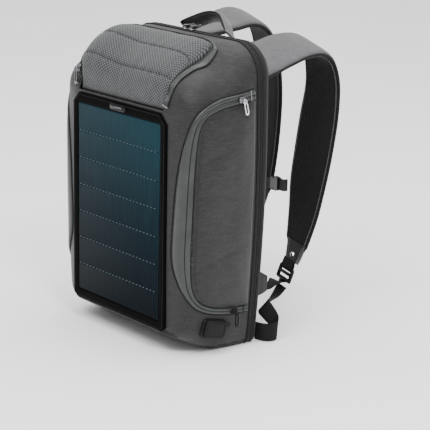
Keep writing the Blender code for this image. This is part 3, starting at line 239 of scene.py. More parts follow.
    # coated edge of the panel, rubbed slightly along its length
    n = Nodes("panel_edge")
    fine = n.noise(n.mapped((650, 650, 650)), 1.0, 3.0, 0.6)
    slow = n.noise(n.mapped((18, 18, 18)), 1.0, 3.0)
    colour = n.ramp(n.math("ADD", n.math("MULTIPLY", fine, 0.5), n.math("MULTIPLY", slow, 0.5)), ((0.25, (0.0007, 0.0006, 0.0006)), (0.75, (0.0026, 0.0024, 0.0023))))
    n.bump(fine, 0.35, 0.0004)
    n.set(Base_Color=colour, Roughness=n.math("ADD", n.math("MULTIPLY", slow, 0.25), 0.40))
    n.set(**{"Specular_IOR_Level": 0.02})

    for name, low, high, r0, scale, metal, bump in (
        ("rubber_black", (0.003, 0.003, 0.003), (0.009, 0.009, 0.0092), 0.42, 420, 0.0, 0.18),
        ("plastic_black", (0.002, 0.002, 0.0022), (0.0055, 0.0055, 0.0057), 0.34, 600, 0.0, 0.12),
        ("plastic_gloss", (0.004, 0.004, 0.005), (0.010, 0.010, 0.011), 0.10, 300, 0.0, 0.02),
        ("chrome_bright", (0.58, 0.58, 0.60), (0.86, 0.86, 0.86), 0.12, 240, 1.0, 0.03),
        ("gunmetal", (0.10, 0.10, 0.105), (0.24, 0.24, 0.25), 0.20, 240, 1.0, 0.04),
        ("board_grey", (0.020, 0.020, 0.021), (0.045, 0.045, 0.046), 0.55, 300, 0.0, 0.1),
        ("thread_dark", (0.010, 0.010, 0.010), (0.030, 0.030, 0.030), 0.7, 900, 0.0, 0.3),
        ("thread_light", (0.10, 0.10, 0.102), (0.20, 0.20, 0.20), 0.7, 900, 0.0, 0.3),
    ):
        n = Nodes(name)
        fine = n.noise(n.mapped((scale, scale, scale)), 1.0, 3.0)
        slow = n.noise(n.mapped((25, 25, 25)), 1.0, 2.0)
        mixed = n.math("ADD", n.math("MULTIPLY", fine, 0.5), n.math("MULTIPLY", slow, 0.5))
        n.bump(fine, bump, 0.0003)
        n.set(Base_Color=n.ramp(mixed, ((0.3, low), (0.7, high))), Metallic=metal, Roughness=n.math("ADD", n.math("MULTIPLY", slow, 0.16), r0))
        if not metal:
            n.set(**{"Specular_IOR_Level": 0.15})

    # ribbed webbing: the ribs run across the band
    n = Nodes("webbing_rib")
    u, v, _ = n.axis(n.mapped((1, 1, 1), "UV"))
    rib = n.math("SINE", n.math("MULTIPLY", u, 2 * math.pi / 0.0024))
    pick = n.math("SINE", n.math("MULTIPLY", v, 2 * math.pi / 0.0016))
    fine = n.noise(n.mapped((900, 900, 900)), 1.0, 3.0)
    weave = n.math("ADD", n.math("MULTIPLY", n.math("MULTIPLY", rib, pick), 0.35), fine)
    colour = n.ramp(weave, ((0.2, (0.0025, 0.0025, 0.0025)), (0.6, (0.0075, 0.0075, 0.0077)), (1.0, (0.026, 0.026, 0.027))))
    n.bump(weave, 0.6, 0.0006)
    n.set(Base_Color=colour, Roughness=0.66, Sheen_Weight=0.02)
    n.set(**{"Specular_IOR_Level": 0.10})

    # grained leatherette
    n = Nodes("leatherette")
    cell = n.node("TexVoronoi")
    cell.inputs["Scale"].default_value = 520
    n.link(n.mapped((1, 1, 1)), cell.inputs["Vector"])
    slow = n.noise(n.mapped((45, 45, 45)), 1.0, 3.0)
    grain = n.math("ADD", cell.outputs["Distance"], n.math("MULTIPLY", slow, 0.6))
    n.bump(grain, 0.35, 0.0005)
    n.set(Base_Color=n.ramp(grain, ((0.2, (0.0045, 0.0045, 0.0048)), (0.9, (0.020, 0.020, 0.021)))), Roughness=n.math("ADD", n.math("MULTIPLY", slow, 0.3), 0.3))

    n = Nodes("floor_pale")
    slow = n.noise(n.mapped((3, 3, 3)), 1.0, 2.0)
    n.set(Base_Color=n.ramp(slow, ((0.3, (0.86, 0.86, 0.865)), (0.7, (0.89, 0.89, 0.89)))), Roughness=0.9)
    n.set(**{"Specular_IOR_Level": 0.1})


make_materials()

# what each carried-over CAD node wears
CAD_LOOK = {
    "base_board": "board_grey", "solar_backing_board": "board_grey", "back_frame_sheet": "board_grey",
    "charge_controller": "plastic_black", "panel_lead": "rubber_black", "usb_lead": "rubber_black", "usb_socket": "chrome_bright",
    "hood_pouch": "lining_cloth", "side_pouch_right": "lining_cloth", "side_pouch_left": "lining_cloth", "laptop_sleeve": "lining_cloth",
}
for node_name, node_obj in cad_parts.items():
    look = MATS[CAD_LOOK.get(node_name, "fabric_black")]
    node_obj.data.materials.clear()
    node_obj.data.materials.append(look)


# ================================================================ mesh helpers
def finish_object(name, mesh, mats, body, smooth=True, angle=40):
    for m in mats:
        mesh.materials.append(MATS[m])
    if smooth:
        mesh.shade_smooth()
        if angle:
            mesh.set_sharp_from_angle(angle=math.radians(angle))
    obj = bpy.data.objects.new(name, mesh)
    bpy.context.scene.collection.objects.link(obj)
    obj.location = OFF
    mesh.transform(Matrix.Identity(4))
    # the mesh is kept in the row frame, so that textures and bodies share it
    mesh.transform(Matrix.Translation(OFF))
    obj.location = (0, 0, 0)
    if body:
        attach(obj, body)
    return obj


def fix_normals(bm):
    bmesh.ops.recalc_face_normals(bm, faces=bm.faces)


def grid_mesh(name, rows, mats, body, uv=None, face_mat=None, thick=0.0, close_u=False, close_v=False, angle=40, level=0, smooth=True):
    """A surface over rows of points in the design frame. uv gives (u, v) per point, face_mat the slot of a face."""
    nr, nc = len(rows), len(rows[0])
    bm = bmesh.new()
    vs = [[bm.verts.new(p) for p in row] for row in rows]
    layer = bm.loops.layers.uv.new("UVMap") if uv else None
    for i in range(nr if close_u else nr - 1):
        for j in range(nc if close_v else nc - 1):
            i2, j2 = (i + 1) % nr, (j + 1) % nc
            ids = [(i, j), (i, j2), (i2, j2), (i2, j)]
            quad = []
            for a, b in ids:
                if vs[a][b] not in quad:
                    quad.append(vs[a][b])
            try:
                face = bm.faces.new(quad)
            except ValueError:
                continue
            if face_mat:
                face.material_index = face_mat(i, j)
            if layer:
                for loop, (a, b) in zip(face.loops, ids):
                    loop[layer].uv = uv(a, b, i, j)
    mesh = bpy.data.meshes.new(name)
    bm.to_mesh(mesh)
    bm.free()
    obj = finish_object(name, mesh, mats, body, smooth, angle)
    if thick:
        solid = obj.modifiers.new("thick", "SOLIDIFY")
        solid.thickness = abs(thick)
        solid.offset = -1 if thick > 0 else 1
        solid.use_even_offset = False
    if level:
        sub = obj.modifiers.new("smooth", "SUBSURF")
        sub.levels = sub.render_levels = level
    return obj


def orient_out(obj, centre):
    """Turns an open surface's faces to look away from a point, given in the design frame."""
    mesh = obj.data
    c = Vector(centre) + OFF
    total = sum((p.center - c).dot(p.normal) * p.area for p in mesh.polygons)
    if total < 0:
        mesh.flip_normals()
    return obj


def solid_loops(name, loops, mats, body, closed=False, bevel=0.0, segs=2, face_mat=None, angle=40, level=0, smooth=True):
    """A closed solid through matching loops of points, with flat ends unless it closes on itself."""
    n = len(loops[0])
    bm = bmesh.new()
    vs = [[bm.verts.new(p) for p in loop] for loop in loops]
    last = len(loops) if closed else len(loops) - 1
    for i in range(last):
        a, b = vs[i], vs[(i + 1) % len(loops)]
        for j in range(n):
            k = (j + 1) % n
            face = bm.faces.new((a[j], a[k], b[k], b[j]))
            if face_mat:
                face.material_index = face_mat(i, j)
    if not closed:
        bm.faces.new(list(reversed(vs[0])))
        bm.faces.new(vs[-1])
    fix_normals(bm)
    mesh = bpy.data.meshes.new(name)
    bm.to_mesh(mesh)
    bm.free()
    obj = finish_object(name, mesh, mats, body, smooth, angle)
    if bevel:
        mod = obj.modifiers.new("bevel", "BEVEL")
        mod.width = bevel
        mod.segments = segs
        mod.limit_method = "ANGLE"
        mod.angle_limit = math.radians(35)
        mod.harden_normals = False
    if level:
        sub = obj.modifiers.new("smooth", "SUBSURF")
        sub.levels = sub.render_levels = level
    return obj


def tube(name, points, radius, mat, body, sides=10, closed=False, flat=1.0, level=0):
    """A round or oval cord sewn or laid along the points."""
    pts = [Vector(p) for p in points]
    loops = []
    n = len(pts)
    up = Vector((0, 0, 1))
    prev_side = None
    for i, p in enumerate(pts):
        a = pts[(i - 1) % n] if closed else pts[max(i - 1, 0)]
        b = pts[(i + 1) % n] if closed else pts[min(i + 1, n - 1)]
        t = (b - a).normalized()
        side = t.cross(up)
        if side.length < 0.2:
            side = t.cross(Vector((0, 1, 0)))
        side.normalize()
        if prev_side is not None and side.dot(prev_side) < 0:
            side = -side
        if prev_side is not None:
            side = (prev_side - t * prev_side.dot(t)).normalized()
        prev_side = side
        other = t.cross(side)
        r = radius
        if not closed and i in (0, n - 1):
            r = radius * 0.55
        loops.append([tuple(p + side * (r * math.cos(2 * math.pi * k / sides)) + other * (r * flat * math.sin(2 * math.pi * k / sides))) for k in range(sides)])
    return solid_loops(name, loops, [mat], body, closed=closed, angle=60, level=level)


def catmull(points, per_span):
    pts = [Vector(p) for p in points]
    pts = [pts[0] * 2 - pts[1]] + pts + [pts[-1] * 2 - pts[-2]]
    out = []
    for i in range(1, len(pts) - 2):
        p0, p1, p2, p3 = pts[i - 1: i + 3]
        for k in range(per_span):
            t = k / per_span
            out.append(0.5 * ((2 * p1) + (p2 - p0) * t + (2 * p0 - 5 * p1 + 4 * p2 - p3) * t ** 2 + (3 * p1 - p0 - 3 * p2 + p3) * t ** 3))
    out.append(pts[-2])
    return out


def even(points, step):
    """The same path with points a set distance apart."""
    pts = [Vector(p) for p in points]
    total = [0.0]
    for a, b in zip(pts, pts[1:]):
        total.append(total[-1] + (b - a).length)
    count = max(2, int(round(total[-1] / step)) + 1)
    out, k = [], 0
    for i in range(count):
        d = total[-1] * i / (count - 1)
        while k < len(pts) - 2 and total[k + 1] < d:
            k += 1
        span = max(total[k + 1] - total[k], 1e-9)
        out.append(pts[k].lerp(pts[k + 1], min(1.0, (d - total[k]) / span)))
    return out


def lerp(a, b, t):
    return a + (b - a) * t


def smooth(t):
    t = min(1.0, max(0.0, t))
    return t * t * (3 - 2 * t)


def wob(x, y, z, size, seed=0.0):
    return noise.noise(Vector((x / size + seed, y / size + 7.1 * seed, z / size - 3.3 * seed)))


def stitches(name, path, normal_of, mat, body, length=0.0030, gap=0.0016, radius=0.00032):
    """A row of sewn stitches: short raised threads along a path."""
    pts = even(path, 0.0008)
    period = length + gap
    dist, loops_all = 0.0, []
    bm = bmesh.new()
    total = [0.0]
    for a, b in zip(pts, pts[1:]):
        total.append(total[-1] + (b - a).length)

    def at(d):
        for i in range(len(pts) - 1):
            if total[i + 1] >= d:
                return pts[i].lerp(pts[i + 1], (d - total[i]) / max(1e-9, total[i + 1] - total[i]))
        return pts[-1]

    d = gap / 2
    index = 0
    import bisect

    def fast(d):
        i = min(max(bisect.bisect_left(total, d) - 1, 0), len(pts) - 2)
        return pts[i].lerp(pts[i + 1], min(1.0, max(0.0, (d - total[i]) / max(1e-9, total[i + 1] - total[i]))))

    while d + length < total[-1]:
        a, m, b = fast(d), fast(d + length / 2), fast(d + length)
        t = (b - a).normalized()
        n = Vector(normal_of(m)).normalized()
        side = t.cross(n).normalized()
        ring_pts = []
        for p, lift, r in ((a, -0.2, 0.6), (m, 0.9, 1.0), (b, -0.2, 0.6)):
            c = p + n * (radius * lift)
            ring_pts.append([bm.verts.new(c + side * (radius * r * math.cos(q)) + n * (radius * r * math.sin(q))) for q in (0, math.pi / 2, math.pi, 3 * math.pi / 2)])
        for r0, r1 in zip(ring_pts, ring_pts[1:]):
            for k in range(4):
                bm.faces.new((r0[k], r0[(k + 1) % 4], r1[(k + 1) % 4], r1[k]))
        bm.faces.new(list(reversed(ring_pts[0])))
        bm.faces.new(ring_pts[-1])
        d += period
        index += 1
    if not index:
        bm.free()
        return None
    fix_normals(bm)
    mesh = bpy.data.meshes.new(name)
    bm.to_mesh(mesh)
    bm.free()
    return finish_object(name, mesh, [mat], body, True, 60)


# ================================================================ the body's shape
STATIONS = (
    (-0.0770, 0.1170, 0.3660, 0.016, 0.0330, 0.012),
    (-0.0745, 0.1270, 0.3730, 0.020, 0.0305, 0.016),
    (-0.0710, 0.1390, 0.3840, 0.026, 0.0285, 0.022),
    (-0.0660, 0.1480, 0.3970, 0.034, 0.0260, 0.028),
    (-0.0570, 0.1535, 0.4065, 0.040, 0.0225, 0.030),
    (-0.0450, 0.1560, 0.4140, 0.045, 0.0175, 0.028),
    (-0.0300, 0.1575, 0.4220, 0.055, 0.0110, 0.026),
    (-0.0120, 0.1580, 0.4300, 0.070, 0.0038, 0.024),
    (0.0000, 0.1580, 0.4400, 0.075, 0.0000, 0.022),
    (0.0110, 0.1580, 0.4500, 0.080, 0.0000, 0.020),
    (0.0170, 0.1580, 0.4540, 0.078, 0.0000, 0.018),
    (0.0350, 0.1572, 0.4545, 0.062, 0.0000, 0.014),
    (0.0560, 0.1562, 0.4535, 0.050, 0.0000, 0.012),
)
REAR_Y, TAPE_Y, TRAY_Y, FRONT_Y, LEAN = 0.0560, 0.0655, 0.0662, -0.0770, 0.0105
ST = np.array(STATIONS)


def section(y):
    """Station values at y along a smooth curve through the stations."""
    ys = ST[:, 0]
    y = min(max(y, ys[0]), ys[-1])
    i = min(int(np.searchsorted(ys, y, side="right")) - 1, len(ys) - 2)
    i = max(i, 0)
    h = ys[i + 1] - ys[i]
    t = (y - ys[i]) / h
    out = []
    for c in range(1, 6):
        v = ST[:, c]
        d = (v[i + 1] - v[i]) / h

        def slope(k):
            if k == 0:
                return (v[1] - v[0]) / (ys[1] - ys[0])
            if k == len(ys) - 1:
                return (v[-1] - v[-2]) / (ys[-1] - ys[-2])
            d0, d1 = (v[k] - v[k - 1]) / (ys[k] - ys[k - 1]), (v[k + 1] - v[k]) / (ys[k + 1] - ys[k])
            if d0 * d1 <= 0:
                return 0.0
            return 2 * d0 * d1 / (d0 + d1)

        m0, m1 = slope(i), slope(i + 1)
        out.append((2 * t ** 3 - 3 * t ** 2 + 1) * v[i] + (t ** 3 - 2 * t ** 2 + t) * h * m0 + (-2 * t ** 3 + 3 * t ** 2) * v[i + 1] + (t ** 3 - t ** 2) * h * m1)
    return out


def wall_x(hw, z):
    return hw - 0.20 * (z - 0.24) ** 2


def half_ring(y, inset=0.0, nb=8, nc=9, ns=46, nt=14, nm=22):
    hw, zt, rt, zb, rb = section(y)
    zt, zb = zt - inset, zb + inset
    rt, rb = max(rt - inset, 0.004), max(rb - inset, 0.004)
    half = []
    cb = wall_x(hw, zb + rb) - inset - rb
    half += [(cb * i / nb, zb) for i in range(nb)]
    half += [(cb + rb * math.cos(math.radians(-90 + 90 * i / nc)), zb + rb + rb * math.sin(math.radians(-90 + 90 * i / nc))) for i in range(nc)]
    for i in range(ns):
        z = lerp(zb + rb, zt - rt, i / ns)
        half.append((wall_x(hw, z) - inset, z))
    ct = wall_x(hw, zt - rt) - inset - rt
    half += [(ct + rt * math.cos(math.radians(90 * i / nt)), zt - rt + rt * math.sin(math.radians(90 * i / nt))) for i in range(nt)]
    half += [(ct * (1 - i / nm), zt) for i in range(nm)]
    half.append((0.0, zt))
    return half


def ring(y, inset=0.0, **k):
    half = half_ring(y, inset, **k)
    return half + [(-x, z) for x, z in reversed(half[1:-1])]


def side_x(y, z):
    hw, zt, rt, zb, rb = section(y)
    if z > zt - rt:
        ct = wall_x(hw, zt - rt) - rt
        return ct + math.sqrt(max(0.0, rt ** 2 - (z - zt + rt) ** 2))
    if z < zb + rb:
        cb = wall_x(hw, zb + rb) - rb
        return cb + math.sqrt(max(0.0, rb ** 2 - (zb + rb - z) ** 2))
    return wall_x(hw, z)


def top_z(x, y):
    hw, zt, rt, _, _ = section(y)
    ct = wall_x(hw, zt - rt) - rt
    if abs(x) <= ct:
        return zt
    return zt - rt + math.sqrt(max(0.0, rt ** 2 - (abs(x) - ct) ** 2))


def lean_y(y, z):
    return y + LEAN * (0.20 - z) * min(1.0, max(0.0, -y / 0.077))


def body_point(x, y, z):
    return (x, lean_y(y, z), z)


def top_at(x, y):
    z = top_z(x, y)
    for _ in range(4):
        z = top_z(x, y + LEAN * (z - 0.20) * min(1.0, max(0.0, -y / 0.077)))
    return z


def side_point(s, y, z, lift=0.0):
    """A point on the side wall, lifted square to it. y and z are the section's own."""
    x = side_x(y, z)
    e = 0.0012
    dy = (side_x(y + e, z) - side_x(y - e, z)) / (2 * e)
    dz = (side_x(y, z + e) - side_x(y, z - e)) / (2 * e)
    n = Vector((1.0, -dy, -dz)).normalized()
    p = Vector(body_point(x, y, z)) + n * lift
    return Vector((s * p.x, p.y, p.z))


def side_normal(s, y, z):
    e = 0.0012
    dy = (side_x(y + e, z) - side_x(y - e, z)) / (2 * e)
    dz = (side_x(y, z + e) - side_x(y, z - e)) / (2 * e)
    n = Vector((1.0, -dy, -dz)).normalized()
    return Vector((s * n.x, n.y, n.z))


def front_point(x, z, d):
    return (x, lean_y(FRONT_Y, z) - d, z)


def boolean(obj, cutter):
    mod = obj.modifiers.new("cut", "BOOLEAN")
    mod.operation = "DIFFERENCE"
    mod.object = cutter
    bpy.context.view_layer.update()
    graph = bpy.context.evaluated_depsgraph_get()
    made = bpy.data.meshes.new_from_object(obj.evaluated_get(graph), depsgraph=graph)
    obj.modifiers.clear()
    old = obj.data
    obj.data = made
    bpy.data.meshes.remove(old)
    cutter_mesh = cutter.data
    bpy.data.objects.remove(cutter)
    bpy.data.meshes.remove(cutter_mesh)


# ---------------------------------------------------------------- side pocket outline
POCKET = (  # flap edge, from the rear top round the front to the rear bottom: y, z
    (0.0505, 0.3765), (0.0284, 0.3738), (-0.0060, 0.3695), (-0.0250, 0.3650), (-0.0400, 0.3575), (-0.0490, 0.3450), (-0.0540, 0.3250),
    (-0.0572, 0.2950), (-0.0590, 0.2550), (-0.0600, 0.2100), (-0.0605, 0.1600), (-0.0595, 0.1250), (-0.0560, 0.1040), (-0.0480, 0.0890), (-0.0350, 0.0790), (-0.0150, 0.0718),
    (0.0150, 0.0668), (0.0505, 0.0645),
)


def pocket_curve(step=0.003):
    pts = catmull([(0.0, y, z) for y, z in POCKET], 10)
    return even(pts, step)


def make_shell():
    ys = list(np.linspace(REAR_Y, 0.0, 17)) + list(np.linspace(-0.005, -0.060, 20)) + list(np.linspace(-0.0620, FRONT_Y, 16))
    rows = []
    for y in ys:
        row = []
        for x, z in ring(y):
            p = Vector(body_point(x, y, z))
            edge = smooth((REAR_Y - y) / 0.02) * smooth((y - FRONT_Y) / 0.02)
            if z > 0.02:
                swell = (wob(x, y, z, 0.050, 1.0) * 0.0011 + wob(x, y, z, 0.022, 2.0) * 0.00045) * edge
                n = Vector((x, 0, z - 0.2)).normalized()
                p += n * (swell - 0.0002)
            row.append(tuple(p))
        rows.append(row)
    bm = bmesh.new()
    vs = [[bm.verts.new(p) for p in row] for row in rows]
    n = len(rows[0])
    for i in range(len(rows) - 1):
        for j in range(n):
            bm.faces.new((vs[i][j], vs[i][(j + 1) % n], vs[i + 1][(j + 1) % n], vs[i + 1][j]))
    # front closed by rings that shrink to a small middle face
    inner = vs[-1]
    centre = Vector((0, 0, 0))
    for v in inner:
        centre += v.co / n
    for f in (0.93, 0.8, 0.5):
        nxt = [bm.verts.new((v.co.x * f, v.co.y, centre.z + (v.co.z - centre.z) * f)) for v in vs[-1]]
        for j in range(n):
            bm.faces.new((inner[j], inner[(j + 1) % n], nxt[(j + 1) % n], nxt[j]))
        inner = nxt
    bm.faces.new(inner)
    fix_normals(bm)
    mesh = bpy.data.meshes.new("shell")
    bm.to_mesh(mesh)
    bm.free()
    for m in ("fabric_grey", "lining_cloth", "fabric_black"):
        mesh.materials.append(MATS[m])
    # the lowest faces, rising higher towards the front, wear black cloth: a black base band that also serves as painted
    # shade along the bottom edge
    for poly in mesh.polygons:
        if poly.center.z < 0.0095 + 0.029 * smooth((-0.040 - poly.center.y) / 0.036):
            poly.material_index = 2
    obj = bpy.data.objects.new("bag_shell", mesh)
    bpy.context.scene.collection.objects.link(obj)
    c = Vector((0, 0, 0.2))
    if sum((p.center - c).dot(p.normal) * p.area for p in mesh.polygons) < 0:
        mesh.flip_normals()
    solid = obj.modifiers.new("thick", "SOLIDIFY")
    solid.thickness = 0.0022
    solid.offset = -1
    # openings
    w = 0.1037
    profile = [(-0.0900, 0.3638), (-0.0900, 0.4700), (0.0118, 0.4700), (0.0118, 0.4280), (-0.0100, 0.4120), (-0.0340, 0.4040), (-0.0540, 0.3900), (-0.0640, 0.3638)]
    cutters = [[[(x, y, z) for y, z in profile] for x in (-w, w)]]
    curve = pocket_curve(0.006)
    for s in (1, -1):
        cutters.append([[tuple(side_point(s, p.y, p.z, d)) for p in curve] for d in (0.012, -0.010)])
    u = (-0.0145, 0.0395)
    cutters.append([[(x, u[0] + a, u[1] + b) for a, b in ((-0.008, -0.005), (0.008, -0.005), (0.008, 0.005), (-0.008, 0.005))] for x in (0.12, 0.175)])
    for k, loops in enumerate(cutters):
        bm = bmesh.new()
        a, b = [[bm.verts.new(p) for p in loop] for loop in loops]
        m = len(a)
        for j in range(m):
            bm.faces.new((a[j], a[(j + 1) % m], b[(j + 1) % m], b[j]))
        bm.faces.new(list(reversed(a)))
        bm.faces.new(b)
        fix_normals(bm)
        cm = bpy.data.meshes.new(f"cutter_{k}")
        bm.to_mesh(cm)
        bm.free()
        cutter = bpy.data.objects.new(f"cutter_{k}", cm)
        bpy.context.scene.collection.objects.link(cutter)
        boolean(obj, cutter)
    obj.data.transform(Matrix.Translation(OFF))
    obj.data.shade_smooth()
    obj.data.set_sharp_from_angle(angle=math.radians(38))
    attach(obj, "bag")
    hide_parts("main_shell")
    return obj


def strip_along(name, base, out, across, profile, mats, body, slot=None, uv_scale=True, thick=0.0, centre=None, level=0, face_mat=None):
    """A band with a cross-section: at each path point, profile gives (offset across, lift out)."""
    rows = []
    for p, n, a in zip(base, out, across):
        rows.append([tuple(p + a * w + n * h) for w, h in profile])
    length = [0.0]
    for a, b in zip(base, base[1:]):
        length.append(length[-1] + (b - a).length)
    obj = grid_mesh(name, rows, mats, body, uv=lambda a, b, i, j: (profile[b][0], length[a]), face_mat=face_mat, angle=50, level=level)
    if centre is not None:
        orient_out(obj, centre)
    if thick:
        solid = obj.modifiers.new("thick", "SOLIDIFY")
        solid.thickness = thick
        solid.offset = -1
    return obj


def make_side(s, name):
    body = "bag"
    flap_body = f"flap_{name}"
    curve = pocket_curve(0.003)
    n = len(curve)
    # ---- flap: rings of points shrinking from the outline to its middle
    cy, cz = 0.004, 0.222
    rings = []
    steps = [(0.0, -0.0012), (0.0, 0.0004), (0.0012, 0.0014), (0.0030, 0.0016), (0.0048, 0.0010), (0.0070, 0.0014), (0.012, 0.0022), (0.022, 0.0030), (0.036, 0.0036), (0.052, 0.0040)]
    ring_pts = []
    area_dir = []
    for i, p in enumerate(curve):
        a, b = curve[max(i - 1, 0)], curve[min(i + 1, n - 1)]
        t = (b - a).normalized()
        inward = Vector((0, -t.z, t.y))
        if inward.dot(Vector((0, cy - p.y, cz - p.z))) < 0:
            inward = -inward
        area_dir.append(inward)
    rear_y = curve[0].y
    rows = []
    levels = 22
    # the flap as a grid: along the outline's height by its depth
    nz, ny = 78, 34
    zs_lo = lambda y: np.interp(y, [c.y for c in curve[::-1]][:1], [0])
    top = [(c.y, c.z) for c in curve if c.z > 0.215]
    bot = [(c.y, c.z) for c in curve if c.z <= 0.215]
    front_y = min(c.y for c in curve)
    top_y = np.array([c[0] for c in top][::-1]); top_zv = np.array([c[1] for c in top][::-1])
    bot_y = np.array([c[0] for c in bot]); bot_zv = np.array([c[1] for c in bot])
    left_z = np.array([c.z for c in curve][::-1]); left_y = np.array([c.y for c in curve][::-1])

    def edge_y(z):
        return float(np.interp(z, left_z, left_y))

    def squircle(a, b):
        """The flap outline's upper and lower edges, as heights along y."""
        z_mid_top = lambda y: float(np.interp(y, top_y, top_zv))
        z_mid_bot = lambda y: float(np.interp(y, bot_y, bot_zv))
        return z_mid_top, z_mid_bot

    inner = 0.0010
    grid = []
    for i in range(nz + 1):
        b = i / nz
        row = []
        for j in range(ny + 1):
            a = j / ny
            # elliptical mapping of the front corners, square at the rear
            ca = 1 - a                       # 1 at the front edge
            cb = 2 * b - 1                   # -1 bottom to 1 top
            x = ca * math.sqrt(max(0.0, 1 - 0.5 * cb * cb * ca * ca * 0.55))
            zt = lerp(0.0, 1.0, b)
            row.append((a, b))
        grid.append(row)
    pts = []
    for i in range(nz + 1):
        b = i / nz
        row = []
        z_line = lerp(0.0645, 0.3765, b)
        for j in range(ny + 1):
            a = j / ny
            y = lerp(front_y, rear_y, 1 - (1 - a) ** 1.0)
            zl = float(np.interp(y, bot_y, bot_zv)) if y > bot_y.min() else None
            row.append((a, b))
        pts.append(row)
    # columns at fixed y, each running from the lower outline to the upper one
    cols = []
    ys = [front_y + (rear_y - front_y) * (1 - math.cos(math.pi / 2 * (j / ny))) for j in range(ny + 1)]
    ys[0] = front_y + 0.0002
    for y in ys:
        lo = min((c.z for c, d in zip(curve, curve[1:]) if (c.y - y) * (d.y - y) <= 0), default=0.2)
        hi = max((c.z for c, d in zip(curve, curve[1:]) if (c.y - y) * (d.y - y) <= 0), default=0.2)
        cols.append((y, lo, hi))
    rows = []
    for y, lo, hi in cols:
        row = []
        for i in range(nz + 1):
            b = i / nz
            b2 = 0.5 - 0.5 * math.cos(math.pi * b) if False else b
            z = lerp(lo, hi, b2)
            # distance to the outline
            d = min(math.hypot(c.y - y, c.z - z) for c in curve[::2])
            d_rear = rear_y - y
            d = min(d, d_rear * 1.4 + 0.001)
            lift = 0.0006 + 0.0034 * (1 - math.exp(-d / 0.010)) + 0.0016 * smooth(d / 0.05)
            lift -= 0.0009 * math.exp(-((d - 0.0052) / 0.0012) ** 2)
            soft = smooth(d / 0.02)
            lift += soft * (0.0016 * wob(0, y, z, 0.075, 3 + s) + 0.0007 * wob(0, y + z * 0.3, z, 0.03, 5 + s))
            dent = math.exp(-(((y - 0.018) / 0.035) ** 2 + ((z - 0.215) / 0.045) ** 2))
            lift -= 0.0022 * dent
            for k, (fy, fz, slope, long, deep) in enumerate(((-0.030, 0.300, 0.25, 0.040, 0.0009), (-0.022, 0.245, -0.18, 0.045, 0.0008), (-0.012, 0.150, 0.30, 0.050, 0.0010), (0.010, 0.335, 0.10, 0.035, 0.0007), (0.000, 0.110, -0.15, 0.045, 0.0007))):
                across_fold = (z - fz - slope * (y - fy)) / 0.0045
                lift -= soft * deep * math.exp(-across_fold ** 2) * math.exp(-((y - fy) / long) ** 2)
            row.append(tuple(side_point(s, y, z, lift)))
        rows.append(row)
    flap = grid_mesh(f"side_flap_cloth_{name}", rows, ["fabric_grey"], flap_body, uv=lambda a, b, i, j: (rows[a][b][1], rows[a][b][2]))
    orient_out(flap, (0, 0, 0.2))
    solid = flap.modifiers.new("thick", "SOLIDIFY")
    solid.thickness = 0.0020
    solid.offset = -1
    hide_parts(f"side_flap_{name}")
    # edge seam of the flap
    edge = [side_point(s, p.y, p.z, 0.0010) for p in curve[2:-2]]
    tube(f"side_flap_edge_{name}", edge, 0.0010, "trim_black", flap_body, sides=8)
    seam = [side_point(s, p.y + d.y * 0.0052, p.z + d.z * 0.0052, 0.0030) for p, d in zip(curve[4:-4], area_dir[4:-4])]
    stitches(f"side_flap_stitches_{name}", seam, lambda m: side_normal(s, m.y, m.z), "thread_dark", flap_body)
    # ---- zip tape round the flap: two satin lips with the coil between, black seam outside
    base, outs, across = [], [], []
    for p, d in zip(curve, area_dir):
        q = side_point(s, p.y, p.z, 0.0)
        outn = side_normal(s, p.y, p.z)
        a = side_point(s, p.y - d.y * 0.004, p.z - d.z * 0.004, 0.0) - q
        base.append(q)
        outs.append(outn)
        across.append(a.normalized())

    def on_wall(i, w, lift):
        p, d = curve[i], area_dir[i]
        y = p.y - d.y * w
        z = p.z - d.z * w
        return side_point(s, max(y, FRONT_Y + 0.0005), z, lift)

    def width(i):
        t = i / (n - 1)
        return lerp(0.0142, 0.0092, smooth((t - 0.62) / 0.25)) if t > 0.62 else 0.0142

    lip = [(0.0002, 0.0006), (0.0008, 0.0017), (0.0016, 0.0023), (0.0034, 0.0024), (0.0054, 0.0022), (0.0064, 0.0016), (0.0067, 0.0006), (0.0070, 0.0016), (0.0082, 0.0024),
           (0.0106, 0.0029), (0.0126, 0.0026), (0.0136, 0.0014), (0.0142, 0.0004)]
    mat_of = [1, 0, 0, 0, 0, 1, 1, 0, 0, 0, 0, 0]
    rows = []
    for i in range(n):
        k = width(i) / 0.0142
        rows.append([tuple(on_wall(i, w * k, h)) for w, h in lip])
    length = [0.0]
    for a, b in zip(base, base[1:]):
        length.append(length[-1] + (b - a).length)
    tape = grid_mesh(f"side_zip_{name}", rows, ["tape_satin", "trim_black"], body, uv=lambda a, b, i, j: (lip[b][0], length[a]), face_mat=lambda i, j: mat_of[j], angle=50)
    orient_out(tape, (0, 0, 0.2))
    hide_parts(f"side_zip_tape_{name}")
    solid = tape.modifiers.new("thick", "SOLIDIFY")
    solid.thickness = 0.0009
    solid.offset = -1
    outer = [on_wall(i, width(i) + 0.0006, 0.0007) for i in range(n)]
    tube(f"side_zip_piping_{name}", outer, 0.0008, "trim_black", body, sides=8)
    # bar tacks at the zip's ends
    for k, i in (("top", 3), ("bottom", n - 4)):
        a, b = on_wall(i, -0.001, 0.0028), on_wall(i, width(i) + 0.001, 0.0028)
        tube(f"side_zip_tack_{k}_{name}", [a.lerp(b, t / 5) for t in range(6)], 0.0010, "thread_light" if k == "top" else "thread_dark", body, sides=6)
    return curve, on_wall, width


